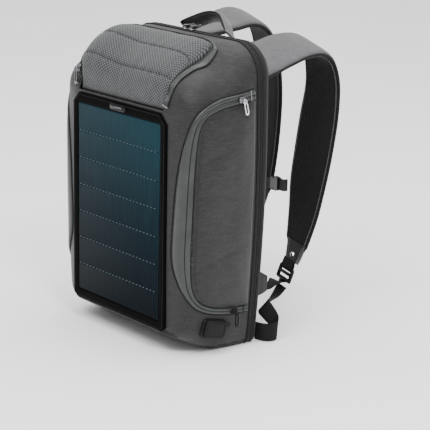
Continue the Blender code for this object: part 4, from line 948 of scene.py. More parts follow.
# ================================================================ hood
HOOD_HW = 0.1030
HOOD_MID = ((0.00, -0.0728, 0.3650), (0.10, -0.0732, 0.3770), (0.22, -0.0718, 0.3930), (0.34, -0.0660, 0.4080), (0.46, -0.0530, 0.4230),
            (0.60, -0.0320, 0.4400), (0.76, -0.0120, 0.4505), (0.88, 0.0000, 0.4555), (1.00, 0.0105, 0.4575))
HOOD_SIDE = ((0.00, -0.0728, 0.3650), (0.10, -0.0716, 0.3755), (0.22, -0.0700, 0.3900), (0.34, -0.0655, 0.4020), (0.46, -0.0530, 0.4130),
             (0.60, -0.0340, 0.4225), (0.76, -0.0140, 0.4310), (0.88, 0.0010, 0.4420), (1.00, 0.0105, 0.4530))


def curve_reader(table):
    pts = catmull([(v, y, z) for v, y, z in table], 12)
    vs = [p.x for p in pts]
    return lambda v: (float(np.interp(v, vs, [p.y for p in pts])), float(np.interp(v, vs, [p.z for p in pts])))


hood_mid, hood_side = curve_reader(HOOD_MID), curve_reader(HOOD_SIDE)


def hood_uv_point(u, v):
    grow = math.sqrt(max(0.0, 1 - abs(u) ** 7))
    # the rear corners are rounded in plan
    r = 0.12
    limit = 1.0
    if v > 1 - r:
        d = (v - 1 + r) / r
        limit = 1 - 0.07 * (1 - math.sqrt(max(0.0, 1 - d * d)))
    ym, zm = hood_mid(v)
    ys, zs = hood_side(v)
    p = Vector((HOOD_HW * u * limit, lerp(ys, ym, grow), lerp(zs, zm, grow)))
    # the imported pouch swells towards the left
    left = smooth((-u - 0.10) / 0.75)
    mid = smooth((v - 0.06) / 0.26) * smooth((0.99 - v) / 0.34)
    return p + Vector((-0.0140 * left * smooth((v - 0.08) / 0.6) * (1 - 0.35 * smooth((v - 0.85) / 0.15)), -0.003 * left * mid, 0.0095 * left * mid))


def hood_normal(u, v):
    e = 0.004
    a = hood_uv_point(min(u + e, 1), v) - hood_uv_point(max(u - e, -1), v)
    b = hood_uv_point(u, min(v + e, 1)) - hood_uv_point(u, max(v - e, 0))
    n = a.cross(b).normalized()
    return n if n.z > 0 or n.y < 0 else -n


SEAMS = (0.37, 0.62)


def make_hood():
    nu, nv = 96, 72
    us = [math.sin(math.pi / 2 * (2 * i / nu - 1)) * 0.55 + (2 * i / nu - 1) * 0.45 for i in range(nu + 1)]
    vs = [i / nv for i in range(nv + 1)]
    along = [0.0]
    for a, b in zip(vs, vs[1:]):
        along.append(along[-1] + (hood_uv_point(0, b) - hood_uv_point(0, a)).length)
    rows = []
    for v in vs:
        row = []
        for u in us:
            p, n = hood_uv_point(u, v), hood_normal(u, v)
            # quilting: the cloth is pulled in along each sewn line and full between them
            marks = (0.0,) + SEAMS + (1.0,)
            lift = 0.0
            for a, b in zip(marks, marks[1:]):
                if a <= v <= b:
                    t = (v - a) / (b - a)
                    lift = 0.0017 * (math.sin(math.pi * t) ** 0.45)
            edge = smooth((1 - abs(u)) / 0.09)
            lift *= 0.25 + 0.75 * edge
            lift += edge * (0.0009 * wob(p.x, p.y, p.z, 0.045, 11) + 0.00045 * wob(p.x * 2.2, p.y, p.z, 0.020, 12))
            for m in SEAMS:
                lift -= 0.0011 * math.exp(-((v - m) / 0.010) ** 2) * edge
                pucker = math.exp(-((v - m) / 0.035) ** 2)
                lift += 0.00035 * pucker * edge * math.sin(p.x / 0.0032 + 1.7 * wob(p.x, 0, m, 0.02, 13))
            row.append(tuple(p + n * lift))
        rows.append(row)
    hood = grid_mesh("hood_cloth", rows, ["hood_diamond", "lining_cloth"], "hood", uv=lambda a, b, i, j: (rows[a][b][0], along[a]))
    orient_out(hood, (0, 0.03, 0.33))
    solid = hood.modifiers.new("thick", "SOLIDIFY")
    solid.thickness = 0.0035
    solid.offset = -1
    solid.material_offset = 1
    solid.material_offset_rim = 1
    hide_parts("hood_panel")
    for k, m in enumerate(SEAMS):
        pts = [hood_uv_point(u, m) + hood_normal(u, m) * 0.0009 for u in np.linspace(-0.985, 0.985, 120)]
        stitches(f"hood_quilting_{k + 1}", pts, lambda q: hood_normal(max(-0.99, min(0.99, q.x / HOOD_HW)), m), "thread_dark", "hood", length=0.0042, gap=0.0022, radius=0.0006)
    # bound edge round the hood's three free sides
    path = [hood_uv_point(-1, v) for v in np.linspace(0.01, 0.985, 90)] + [hood_uv_point(u, 1.0) for u in np.linspace(-0.97, 0.97, 90)] + [hood_uv_point(1, v) for v in np.linspace(0.985, 0.01, 90)]
    tube("hood_edge_binding", even(path, 0.003), 0.0010, "trim_black", "hood", sides=8)
    tube("hood_hinge_seam", [hood_uv_point(u, 0.0) + Vector((0, -0.0004, -0.0004)) for u in np.linspace(-0.98, 0.98, 60)], 0.0012, "trim_black", "hood", sides=8)
    # zip gusset: from the edge of the hood down to the body, with the coil beside the hood
    def side_pairs(sx):
        pairs = []
        for y in (-0.0767, -0.0763, -0.0758, -0.0752):
            fx = 0.1128
            foot = Vector((sx * fx, lean_y(y, 0.365), top_at(fx, y) + 0.0008))
            rx = 0.1050
            rim = Vector((sx * rx, lean_y(y, 0.365) - 0.0010, max(top_at(rx, y) + 0.0012, foot.z + 0.0005)))
            pairs.append((foot, rim))
        for v in np.linspace(0.10, 0.99, 60):
            rim = hood_uv_point(sx, v) + Vector((sx * 0.0012, 0.0, -0.0004))
            foot_x = max(lerp(0.1125, 0.1150, smooth(v / 0.35)), abs(rim.x) + 0.0060)
            if v > 0.8:
                foot_x = lerp(foot_x, max(0.1105, abs(rim.x) + 0.0060), smooth((v - 0.8) / 0.2))
            foot_y = rim.y + lerp(-0.0012, 0.0035, smooth((v - 0.5) / 0.5))
            foot = Vector((sx * foot_x, foot_y, top_at(foot_x, foot_y) + 0.0010))
            if foot.z > rim.z - 0.0006:
                rim = Vector((rim.x, rim.y, foot.z + 0.0008))
            pairs.append((foot, rim))
        return pairs

    right = side_pairs(1)
    rear = []
    for u in (0.96, 0.88, 0.75, 0.5, 0.25, 0.0, -0.25, -0.5, -0.75, -0.88, -0.96):
        rim = hood_uv_point(u, 1.0) + Vector((0, 0.0014, -0.0002))
        x = rim.x * 1.04
        fy = rim.y + lerp(0.0040, 0.0075, smooth((1 - abs(u)) / 0.2))
        foot = Vector((x, fy, top_at(abs(x), fy) + 0.0010))
        rear.append((foot, Vector((rim.x, rim.y, max(rim.z, foot.z + 0.0008)))))
    right = right + rear + list(reversed(side_pairs(-1)))
    def resample(points, m):
        ev = [Vector(p) for p in points]
        total = [0.0]
        for a, b in zip(ev, ev[1:]):
            total.append(total[-1] + (b - a).length)
        res = []
        for i in range(m):
            d = total[-1] * i / (m - 1)
            k = min(max(int(np.searchsorted(total, d)) - 1, 0), len(ev) - 2)
            res.append(ev[k].lerp(ev[k + 1], min(1.0, max(0.0, (d - total[k]) / max(1e-9, total[k + 1] - total[k])))))
        return res
    m = 190
    feet, rims = resample([a for a, b in right], m), resample([b for a, b in right], m)
    rows, seam, coil, edge_line = [], [], [], []
    prof = [(0.0, 0.0002), (0.06, 0.0012), (0.14, 0.0015), (0.30, 0.0008), (0.50, 0.0004), (0.68, 0.0006), (0.76, 0.0014), (0.82, 0.0004), (0.90, 0.0002), (1.0, 0.0006)]
    for i, (a, b) in enumerate(zip(feet, rims)):
        p, q = max(i - 1, 0), min(i + 1, len(feet) - 1)
        t = (feet[q] + rims[q] - feet[p] - rims[p]).normalized()
        nrm = t.cross(b - a).normalized()
        if nrm.z < 0:
            nrm = -nrm
        line = []
        for w, h in prof:
            c = a.lerp(b, w)
            line.append(tuple(c + nrm * h + Vector((0, 0, 0.0009 * math.sin(math.pi * w)))))
        rows.append(line)
        seam.append(a + nrm * 0.0004)
        coil.append(a.lerp(b, 0.88) + nrm * 0.0009)
    gusset = grid_mesh("hood_zip_cloth", rows, ["tape_satin", "trim_black"], "bag", uv=lambda a, b, i, j: (prof[b][0] * 0.012, a * 0.003), face_mat=lambda i, j: 1 if j in (6, 7) else 0, angle=50)
    orient_out(gusset, (0, 0.03, 0.30))
    solid = gusset.modifiers.new("thick", "SOLIDIFY")
    solid.thickness = 0.0008
    solid.offset = -1
    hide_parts("hood_zip_gusset")
    tube("hood_zip_piping", even(seam, 0.003), 0.0008, "trim_black", "bag", sides=8)
    for k, sx in ((0, 1), (1, -1)):
        a, b = feet[0 if sx > 0 else -1], rims[0 if sx > 0 else -1]
        c = [a.lerp(b, t) + Vector((0, -0.0012, 0.0)) for t in (-0.15, 0.1, 0.4, 0.7, 1.0, 1.2)]
        tube(f"hood_zip_tack_{k + 1}", c, 0.0012, "thread_light", "bag", sides=6)
    return feet, rims


# ================================================================ solar panel
FRAME_HW, FRAME_Z0, FRAME_Z1 = 0.1145, 0.0355, 0.3605
CELL_HW, CELL_Z0, CELL_Z1, ROWS = 0.1010, 0.0506, 0.3444, 7


def rounded(u0, u1, v0, v1, r, seg=5):
    pts = []
    for cu, cv, start in ((u1 - r, v0 + r, -90), (u1 - r, v1 - r, 0), (u0 + r, v1 - r, 90), (u0 + r, v0 + r, 180)):
        for i in range(seg + 1):
            a = math.radians(start + 90 * i / seg)
            pts.append((cu + r * math.cos(a), cv + r * math.sin(a)))
    return pts


def make_solar():
    # edge frame as four mitred runs joined in one ring: outline outside, window inside
    out, win = [], []
    n = 40
    corners_o = [(-FRAME_HW, FRAME_Z0 + 0.006), (-FRAME_HW, FRAME_Z1 - 0.015), (-0.099, FRAME_Z1), (0.099, FRAME_Z1), (FRAME_HW, FRAME_Z1 - 0.015), (FRAME_HW, FRAME_Z0 + 0.006), (FRAME_HW - 0.008, FRAME_Z0), (-FRAME_HW + 0.008, FRAME_Z0)]
    m = 0.0004
    corners_i = [(-CELL_HW - m, CELL_Z0 - m), (-CELL_HW - m, CELL_Z1 + m - 0.002), (-CELL_HW - m + 0.002, CELL_Z1 + m), (CELL_HW + m - 0.002, CELL_Z1 + m), (CELL_HW + m, CELL_Z1 + m - 0.002), (CELL_HW + m, CELL_Z0 - m), (CELL_HW + m - 0.001, CELL_Z0 - m), (-CELL_HW - m + 0.001, CELL_Z0 - m)]
    rows = []
    prof = [(0.0, -0.0006), (0.0, 0.0020), (0.03, 0.0030), (0.10, 0.0034), (0.30, 0.0035), (0.80, 0.0034), (0.93, 0.0032), (1.0, 0.0026), (1.0, 0.0006)]
    sub = 14
    for k in range(8):
        o0, o1, i0, i1 = corners_o[k], corners_o[(k + 1) % 8], corners_i[k], corners_i[(k + 1) % 8]
        for t in range(sub):
            f = t / sub
            o = (lerp(o0[0], o1[0], f), lerp(o0[1], o1[1], f))
            i = (lerp(i0[0], i1[0], f), lerp(i0[1], i1[1], f))
            row = []
            for w, d in prof:
                x, z = lerp(o[0], i[0], w), lerp(o[1], i[1], w)
                row.append(front_point(x, z, d + 0.00018 * wob(x, 0, z, 0.02, 21) + 0.0002 * wob(x, 0, z, 0.06, 22)))
            rows.append(row)
    frame_obj = grid_mesh("solar_frame_edge", rows, ["panel_edge"], "bag", close_u=True, angle=45, uv=lambda a, b, i, j: (rows[a][b][0], rows[a][b][2]))
    orient_out(frame_obj, (0, 0, 0.2))
    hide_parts("solar_frame")
    # sewn line round the frame
    ring_o = [Vector(front_point(x, z, 0.0036)) for x, z in ((-0.1105, 0.044), (-0.1105, 0.3440), (-0.0975, 0.3568), (0.0975, 0.3568), (0.1105, 0.3440), (0.1105, 0.044), (0.1065, 0.0395), (-0.1065, 0.0395), (-0.1105, 0.044))]
    stitches("solar_frame_stitches", ring_o, lambda q: (0, -1, 0), "thread_dark", "bag", length=0.0032, gap=0.0014, radius=0.00045)
    # clear laminate with the cells: each row of cells is a thin pane with soft edges
    pitch = (CELL_Z1 - CELL_Z0) / ROWS
    panes = []
    bm = bmesh.new()
    layer = bm.loops.layers.uv.new("UVMap")
    def pane(x0, x1, z0, z1, d0, d1, r, mat):
        loop = rounded(x0, x1, z0, z1, r, 3)
        cx, cz = (x0 + x1) / 2, (z0 + z1) / 2
        inset = 0.0005
        low = [bm.verts.new(front_point(x, z, d0)) for x, z in loop]
        mid = [bm.verts.new(front_point(x, z, d1 - 0.0002)) for x, z in loop]
        top = [bm.verts.new(front_point(x + (-inset if x > cx else inset), z + (-inset if z > cz else inset), d1)) for x, z in loop]
        k = len(loop)
        for a, b in ((low, mid), (mid, top)):
            for j in range(k):
                f = bm.faces.new((a[j], a[(j + 1) % k], b[(j + 1) % k], b[j]))
                f.material_index = mat
        for ring_ in (top, list(reversed(low))):
            f = bm.faces.new(ring_)
            f.material_index = mat
    pane(-CELL_HW, CELL_HW, CELL_Z0, CELL_Z1, 0.0016, 0.0024, 0.0012, 1)
    for k in range(ROWS):
        z1 = CELL_Z1 - pitch * k - 0.0007
        z0 = z1 - pitch + 0.0014
        pane(-CELL_HW + 0.0006, CELL_HW - 0.0006, z0, z1, 0.0022, 0.0031, 0.0010, 0)
    fix_normals(bm)
    mesh = bpy.data.meshes.new("solar_cells")
    bm.to_mesh(mesh)
    bm.free()
    cells = finish_object("solar_cell_rows", mesh, ["solar_cells", "solar_cells"], "bag", True, 30)
    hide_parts("solar_laminate")
    # bus dashes between rows
    bm = bmesh.new()
    for k in range(1, ROWS):
        z = CELL_Z1 - pitch * k
        x = -CELL_HW + 0.004
        while x < CELL_HW - 0.005:
            loop = rounded(x, x + 0.0034, z - 0.00055, z + 0.00055, 0.0004, 2)
            low = [bm.verts.new(front_point(a, b, 0.0026)) for a, b in loop]
            top = [bm.verts.new(front_point(a, b, 0.00335)) for a, b in loop]
            n2 = len(loop)
            for j in range(n2):
                bm.faces.new((low[j], low[(j + 1) % n2], top[(j + 1) % n2], top[j]))
            bm.faces.new(top)
            bm.faces.new(list(reversed(low)))
            x += 0.0084
    fix_normals(bm)
    mesh = bpy.data.meshes.new("solar_bus")
    bm.to_mesh(mesh)
    bm.free()
    finish_object("solar_bus_bars", mesh, ["solar_bus"], "bag", False)
    # plain oblong badge
    loops = []
    for d, g in ((0.0034, 0.0), (0.0046, 0.0), (0.0052, -0.0008)):
        loops.append([front_point(x, z, d) for x, z in rounded(-0.019 - g, 0.019 + g, 0.3478 - g, 0.3572 + g, 0.0044 + g, 6)])
    badge = solid_loops("badge_plate_gloss", loops, ["plastic_gloss"], "bag", angle=50)
    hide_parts("badge_plate")
    loops = []
    for d, g in ((0.0050, 0.0), (0.0056, -0.0004)):
        loops.append([front_point(x, z, d) for x, z in rounded(-0.0100 - g, 0.0100 + g, 0.3512 - g, 0.3538 + g, 0.0012, 4)])
    solid_loops("badge_bar", loops, ["gunmetal"], "bag", angle=50)


# ================================================================ usb
USB_C, USB_TILT = (-0.0145, 0.0395), math.radians(-14)


def make_usb():
    wall = max(side_x(USB_C[0] + dy, USB_C[1] + dz) for dy in (-0.023, 0, 0.023) for dz in (-0.014, 0, 0.016)) + 0.0008

    def place(u, v, d):
        y = USB_C[0] + u * math.cos(USB_TILT) - v * math.sin(USB_TILT)
        z = USB_C[1] + u * math.sin(USB_TILT) + v * math.cos(USB_TILT)
        return (wall + d, y, z)

    def rim(u, v):
        """The wall's own surface below a point of the plate, so that its skirt closes on the cloth."""
        p = place(u, v, 0)
        return (side_x(p[1], p[2]) - 0.0012, p[1], p[2])

    outline = rounded(-0.0225, 0.0225, -0.0150, 0.0150, 0.0075, 8)
    hole = rounded(-0.0078, 0.0078, -0.0040, 0.0040, 0.0012, 8)
    n = len(outline)
    loops = [[rim(u * 1.02, v * 1.03) for u, v in outline], [place(u, v, 0.0008) for u, v in outline], [place(u * 0.97, v * 0.96, 0.0022) for u, v in outline], [place(u * 0.92, v * 0.90, 0.0024) for u, v in outline],
             [place(u, v, 0.0024) for u, v in hole], [place(u, v, -0.003) for u, v in hole]]
    housing = solid_loops("usb_housing_rubber", loops[:4] + loops[4:], ["rubber_black"], "bag", closed=False, angle=40)
    # the end caps would close the mouth, so the last one is removed
    bm = bmesh.new()
    bm.from_mesh(housing.data)
    big = [f for f in bm.faces if len(f.verts) > 8]
    bmesh.ops.delete(bm, geom=big, context="FACES_ONLY")
    bm.to_mesh(housing.data)
    bm.free()
    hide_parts("usb_housing")
    outline = rounded(-0.0205, 0.0205, -0.0135, 0.0135, 0.0066, 8)
    loops = []
    for d, k in ((0.0028, 0.97), (0.0034, 1.0), (0.0050, 1.0), (0.0060, 0.965), (0.0064, 0.90)):
        loops.append([place(u * k + (0.0), v * (k if k > 0.95 else 0.87), d) for u, v in outline])
    cover = solid_loops("usb_cover_rubber", loops, ["rubber_black"], "usb_cover_body", angle=50)
    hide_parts("usb_cover")
    # shallow step round the cover's face and a finger tab
    tab = [(0.0190, 0.0030), (0.0262, 0.0062), (0.0276, 0.0098), (0.0256, 0.0134), (0.0160, 0.0140), (0.0140, 0.0100)]
    loops = [[place(u, v, d) for u, v in tab] for d in (0.0030, 0.0046, 0.0052)]
    solid_loops("usb_cover_tab", loops, ["rubber_black"], "usb_cover_body", bevel=0.0006, angle=50)
    ring_pts = [Vector(place(u * 0.80, v * 0.74, 0.0062)) for u, v in outline]
    tube("usb_cover_groove", ring_pts, 0.0006, "plastic_black", "usb_cover_body", sides=6, closed=True)
    # contact tongue
    loops = [[place(u, v, d) for u, v in ((-0.0055, -0.0007), (0.0055, -0.0007), (0.0055, 0.0009), (-0.0055, 0.0009))] for d in (-0.0134, -0.0012)]
    solid_loops("usb_contact_tongue", loops, ["plastic_black"], "bag", bevel=0.0002, angle=40)


# ================================================================ zip hardware
def make_slider(name, at, along, out, mat="gunmetal", size=1.0):
    at, along, out = Vector(at), Vector(along).normalized(), Vector(out).normalized()
    side = along.cross(out).normalized()
    out = side.cross(along).normalized()
    length, width, height = 0.0118 * size, 0.0086 * size, 0.0048 * size
    profile = [(-0.5, 0.0), (-0.5, 0.34), (-0.42, 0.50), (-0.30, 0.56), (-0.27, 0.82), (-0.18, 1.0), (0.10, 1.0), (0.20, 0.86), (0.26, 0.56), (0.42, 0.48), (0.5, 0.32), (0.5, 0.0)]
    loops = []
    for s, taper, h in ((-0.50, 0.70, 0.55), (-0.46, 0.88, 0.6), (-0.20, 1.0, 0.66), (-0.16, 1.0, 1.0), (0.16, 1.0, 1.0), (0.20, 1.0, 0.66), (0.46, 0.88, 0.6), (0.50, 0.70, 0.55)):
        loops.append([tuple(at + along * (u * length * taper) + out * (min(v, h) * height) + side * (s * width)) for u, v in profile])
    return solid_loops(f"{name}_slider_metal", loops, [mat], f"{name}_slider_body", bevel=0.0003, segs=2, angle=45)


def make_pull(name, pivot, down, across, mat="gunmetal", length=0.0225, cord=False):
    pivot, down, across = Vector(pivot), Vector(down).normalized(), Vector(across).normalized()
    normal = down.cross(across).normalized()
    body = f"{name}_pull_body"
    # wire loop through the slider's bridge
    loop = []
    for i in range(14):
        a = 2 * math.pi * i / 14
        loop.append(pivot + across * (0.0030 * math.cos(a)) + down * (0.0022 - 0.0030 * math.sin(a)))
    tube(f"{name}_pull_loop", loop, 0.0007, mat, body, sides=8, closed=True)
    outline = [(-0.20, 0.10), (-0.44, 0.16), (-0.50, 0.26), (-0.50, 0.84), (-0.42, 0.95), (-0.22, 1.0), (0.22, 1.0), (0.42, 0.95), (0.50, 0.84), (0.50, 0.26), (0.44, 0.16), (0.20, 0.10)]
    hole = [(-0.08, 0.22), (-0.20, 0.26), (-0.24, 0.32), (-0.24, 0.78), (-0.18, 0.84), (-0.08, 0.87), (0.08, 0.87), (0.18, 0.84), (0.24, 0.78), (0.24, 0.32), (0.20, 0.26), (0.08, 0.22)]
    loops = []
    width, thick = 0.0066, 0.0018
    for shape, d, k in ((outline, -0.5, 0.94), (outline, -0.25, 1.0), (outline, 0.25, 1.0), (outline, 0.5, 0.94), (hole, 0.5, 1.0), (hole, -0.5, 1.0)):
        loops.append([tuple(pivot + across * (u * width * k) + down * ((0.55 + (v - 0.55) * k) * length) + normal * (d * thick)) for u, v in shape])
    obj = solid_loops(f"{name}_pull_tab", loops, [mat], body, closed=True, bevel=0.00025, segs=1, angle=45)
    return obj


def make_zips():
    look = {"side_right_top": "chrome_bright", "side_left_top": "chrome_bright", "side_right_bottom": "plastic_black", "side_left_bottom": "plastic_black",
            "hood": "gunmetal", "main_left": "gunmetal", "main_right": "gunmetal"}
    for name, mat in look.items():
        lo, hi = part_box(f"{name}_slider")
        plo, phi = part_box(f"{name}_pull")
        c = (Vector(lo) + Vector(hi)) / 2 - OFF
        p = (Vector(plo) + Vector(phi)) / 2 - OFF
        if name.startswith("side"):
            s = 1 if "right" in name else -1
            wall = lo[0] if s > 0 else -hi[0]
            at = Vector((s * (wall + 0.0002), c.y, c.z))
            along = Vector((0, 1, 0.12 if "top" in name else -0.09))
            slider = make_slider(name, at, along, (s, 0, 0), "gunmetal" if "top" in name else "plastic_black")
            pull = make_pull(name, Vector((p.x, p.y, plo and (phi[2]))), (0, 0.0 if "bottom" in name else 0.26, -1), (0, 1, 0.26 if "top" in name else 0), mat)
        elif name == "hood":
            at = Vector((c.x, hi[1] - OFF.y - 0.0006, c.z))
            slider = make_slider(name, c + Vector((0, 0.0026, -0.0006)), (0, 0.25, 0.97), (0, -0.97, 0.25), mat)
            pull = make_pull(name, Vector((p.x, p.y, phi[2])), (0, 0, -1), (1, 0, 0), mat, length=0.026)
        else:
            slider = make_slider(name, Vector((c.x, c.y, lo[2] + 0.0001)), (1, 0, 0), (0, 0, 1), mat)
            pull = make_pull(name, Vector((p.x, plo[1] - OFF.y, p.z)), (0, 1, 0), (1, 0, 0), mat)
        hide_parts(f"{name}_slider")
        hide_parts(f"{name}_pull")


# ================================================================ rear: zip band and back panel
def tray_back(z):
    return 0.0745 + 0.0145 * z


def make_rear():
    kw = dict(nb=8, nc=8, ns=60, nt=16, nm=20)

    def loop(y_of, inset):
        return [Vector((x, y_of(z), z)) for x, z in ring(REAR_Y, inset, **kw)]

    # main zip: black cloth band with a coil groove, running right round
    prof = [(0.0563, 0.0018), (0.0568, 0.0002), (0.0580, -0.0005), (0.0598, -0.0004), (0.0606, 0.0002), (0.0609, 0.0009), (0.0611, 0.0009), (0.0614, 0.0002), (0.0624, -0.0004), (0.0642, -0.0005), (0.0653, 0.0002), (0.0657, 0.0018)]
    rows = [[tuple(p) for p in loop(lambda z, y=y: y, d)] for y, d in prof]
    def floor_clear(rows):
        return [[(x, y, max(z, 0.0006)) for x, y, z in r] for r in rows]
    rows = floor_clear(rows)
    band = grid_mesh("main_zip_band", rows, ["fabric_black", "trim_black"], "bag", close_v=True, face_mat=lambda i, j: 1 if 4 <= i <= 6 else 0, angle=50)
    orient_out(band, (0, 0.06, 0.22))
    solid = band.modifiers.new("thick", "SOLIDIFY")
    solid.thickness = 0.0012
    solid.offset = -1
    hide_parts("main_zip_tape")
    for k, (y, d) in enumerate(((0.0556, -0.0007), (0.0661, -0.0005))):
        pts = [Vector((p.x, p.y, max(p.z, 0.0013))) for p in loop(lambda z, y=y: y, d)]
        tube(f"main_seam_piping_{k + 1}", pts, 0.0010, "trim_black", "bag" if k == 0 else "back", sides=8, closed=True)

    # back panel: a shallow padded tray
    prof = [(0.0, 0.0028), (0.0, 0.0000), (0.30, -0.0008), (0.60, 0.0002), (0.82, 0.0022), (0.94, 0.0050), (1.0, 0.0090), (1.01, 0.0160), (1.0, 0.0260)]
    rows = []
    for t, d in prof:
        row = []
        for x, z in ring(REAR_Y, max(d, 0.0), **kw):
            y = lerp(TRAY_Y, tray_back(z), t)
            if d < 0:
                x *= 1 - d / 0.156
            row.append((x, y + 0.0004 * wob(x, 0, z, 0.05, 31), max(z, 0.0004)))
        rows.append(row)
    # flat middle filled by shrinking loops, sunk a little towards the middle
    last = rows[-1]
    cz = 0.225
    for f in (0.86, 0.72, 0.56, 0.38, 0.18):
        rows.append([(x * f, tray_back(cz + (z - cz) * f) - 0.0006 - 0.0008 * (1 - f), cz + (z - cz) * f) for x, y, z in last])
    tray = grid_mesh("back_panel_cloth", rows, ["fabric_black", "fabric_black"], "back", close_v=True, face_mat=lambda i, j: 0 if i < 4 else 1, angle=50)
    bm = bmesh.new()
    bm.from_mesh(tray.data)
    edge = [e for e in bm.edges if e.is_boundary and abs(e.verts[0].co.x) < 0.05]
    bmesh.ops.contextual_create(bm, geom=edge)
    bm.to_mesh(tray.data)
    bm.free()
    orient_out(tray, (0, 0.04, 0.22))
    solid = tray.modifiers.new("thick", "SOLIDIFY")
    solid.thickness = 0.0018
    solid.offset = -1
    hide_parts("back_panel")
    # seam where the panel's face meets its side
    pts = []
    for x, z in ring(REAR_Y, 0.0065, **kw):
        pts.append(Vector((x, lerp(TRAY_Y, tray_back(z), 1.0) + 0.0003, max(z, 0.002))))
    tube("back_panel_piping", pts, 0.0013, "trim_black", "back", sides=8, closed=True)

    # back pads: air mesh over foam, puffed by a cloth simulation
    for s, name in ((1, "right"), (-1, "left")):
        make_pad(s, name)


def make_pad(s, name):
    o = rounded(0.0185, 0.1095, 0.0625, 0.3625, 0.020, 6)
    verts, faces = [], []
    loops = []
    for d, k in ((0.0010, 0.0), (0.0040, 0.0), (0.0072, 0.0012)):
        cu, cv = 0.064, 0.2125
        loops.append([(s * (cu + (u - cu) * (1 - k / 0.045)), tray_back(cv + (v - cv) * (1 - k / 0.15)) + d, cv + (v - cv) * (1 - k / 0.15)) for u, v in o])
    bm = bmesh.new()
    vs = [[bm.verts.new(p) for p in l] for l in loops]
    n = len(o)
    for a, b in zip(vs, vs[1:]):
        for j in range(n):
            bm.faces.new((a[j], a[(j + 1) % n], b[(j + 1) % n], b[j]))
    bm.faces.new(list(reversed(vs[0])))
    bm.faces.new(vs[-1])
    fix_normals(bm)
    mesh = bpy.data.meshes.new(f"back_pad_{name}")
    bm.to_mesh(mesh)
    bm.free()
    obj = bpy.data.objects.new(f"back_pad_mesh_{name}", mesh)
    bpy.context.scene.collection.objects.link(obj)
    obj = puff(obj, 0.0055, pressure=4.0, cap=0.0042, pin=lambda p: p.y < tray_back(p.z) + 0.0030)
    obj.name = f"back_pad_mesh_{name}"
    mesh = obj.data
    # sewn cross channels, after the simulation
    co = np.empty(len(mesh.vertices) * 3)
    mesh.vertices.foreach_get("co", co)
    co = co.reshape(-1, 3)
    base = 0.0745 + 0.0145 * co[:, 2]
    front = co[:, 1] - base > 0.0040
    dip = np.zeros(len(co))
    for zc in (0.135, 0.2125, 0.29):
        dip += 0.0045 * np.exp(-((co[:, 2] - zc - 0.10 * (np.abs(co[:, 0]) - 0.064) * s * s) / 0.0055) ** 2)
    co[:, 1] -= dip * front
    mesh.vertices.foreach_set("co", co.ravel())
    mesh.transform(Matrix.Translation(OFF))
    uv = mesh.uv_layers.new(name="UVMap")
    for poly in mesh.polygons:
        for li in poly.loop_indices:
            v = mesh.vertices[mesh.loops[li].vertex_index].co
            uv.data[li].uv = (v.x, v.z)
    mesh.materials.clear()
    mesh.materials.append(MATS["air_mesh"])
    mesh.shade_smooth()
    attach(obj, "back")
    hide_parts(f"back_pad_{name}")
    rim = [Vector((s * u, tray_back(v) + 0.0016, v)) for u, v in rounded(0.0175, 0.1105, 0.0615, 0.3635, 0.021, 8)]
    tube(f"back_pad_binding_{name}", rim, 0.0016, "trim_black", "back", sides=8, closed=True)


def puff(obj, voxel, pressure, cap, pin=None):
    """The piece blown up a little as cloth: remeshed, simulated, its movement capped, then smoothed."""
    rem = obj.modifiers.new("remesh", "REMESH")
    rem.mode = "VOXEL"
    rem.voxel_size = voxel
    graph = bpy.context.evaluated_depsgraph_get()
    mesh = bpy.data.meshes.new_from_object(obj.evaluated_get(graph), depsgraph=graph)
    obj.modifiers.clear()
    obj.data = mesh
    rest = np.empty(len(mesh.vertices) * 3)
    mesh.vertices.foreach_get("co", rest)
    rest = rest.reshape(-1, 3)
    moved = rest.copy()
    if pin:
        group = obj.vertex_groups.new(name="pin")
        ids = [i for i, p in enumerate(rest) if pin(Vector(p))]
        group.add(ids, 1.0, "REPLACE")
    cloth = obj.modifiers.new("cloth", "CLOTH")
    cloth.settings.quality = 4
    cloth.settings.use_pressure = True
    cloth.settings.uniform_pressure_force = pressure
    cloth.settings.effector_weights.gravity = 0
    cloth.settings.mass = 0.15
    if pin:
        cloth.settings.vertex_group_mass = "pin"
    cloth.point_cache.frame_start, cloth.point_cache.frame_end = 1, 20
    scene = bpy.context.scene
    for f in range(1, 21):
        scene.frame_set(f)
    graph = bpy.context.evaluated_depsgraph_get()
    done = obj.evaluated_get(graph).to_mesh()
    got = np.empty(len(done.vertices) * 3)
    done.vertices.foreach_get("co", got)
    moved = got.reshape(-1, 3)
    obj.evaluated_get(graph).to_mesh_clear()
    obj.modifiers.clear()
    scene.frame_set(1)
    d = moved - rest
    length = np.linalg.norm(d, axis=1, keepdims=True)
    limit = cap * np.tanh(length / cap)
    new = rest + d * np.divide(limit, np.maximum(length, 1e-9))
    mesh.vertices.foreach_set("co", new.ravel())
    sm = obj.modifiers.new("relax", "SMOOTH")
    sm.factor, sm.iterations = 0.5, 3
    sub = obj.modifiers.new("smooth", "SUBSURF")
    sub.levels = sub.render_levels = 1
    graph = bpy.context.evaluated_depsgraph_get()
    made = bpy.data.meshes.new_from_object(obj.evaluated_get(graph), depsgraph=graph)
    obj.modifiers.clear()
    obj.vertex_groups.clear()
    obj.data = made
    return obj


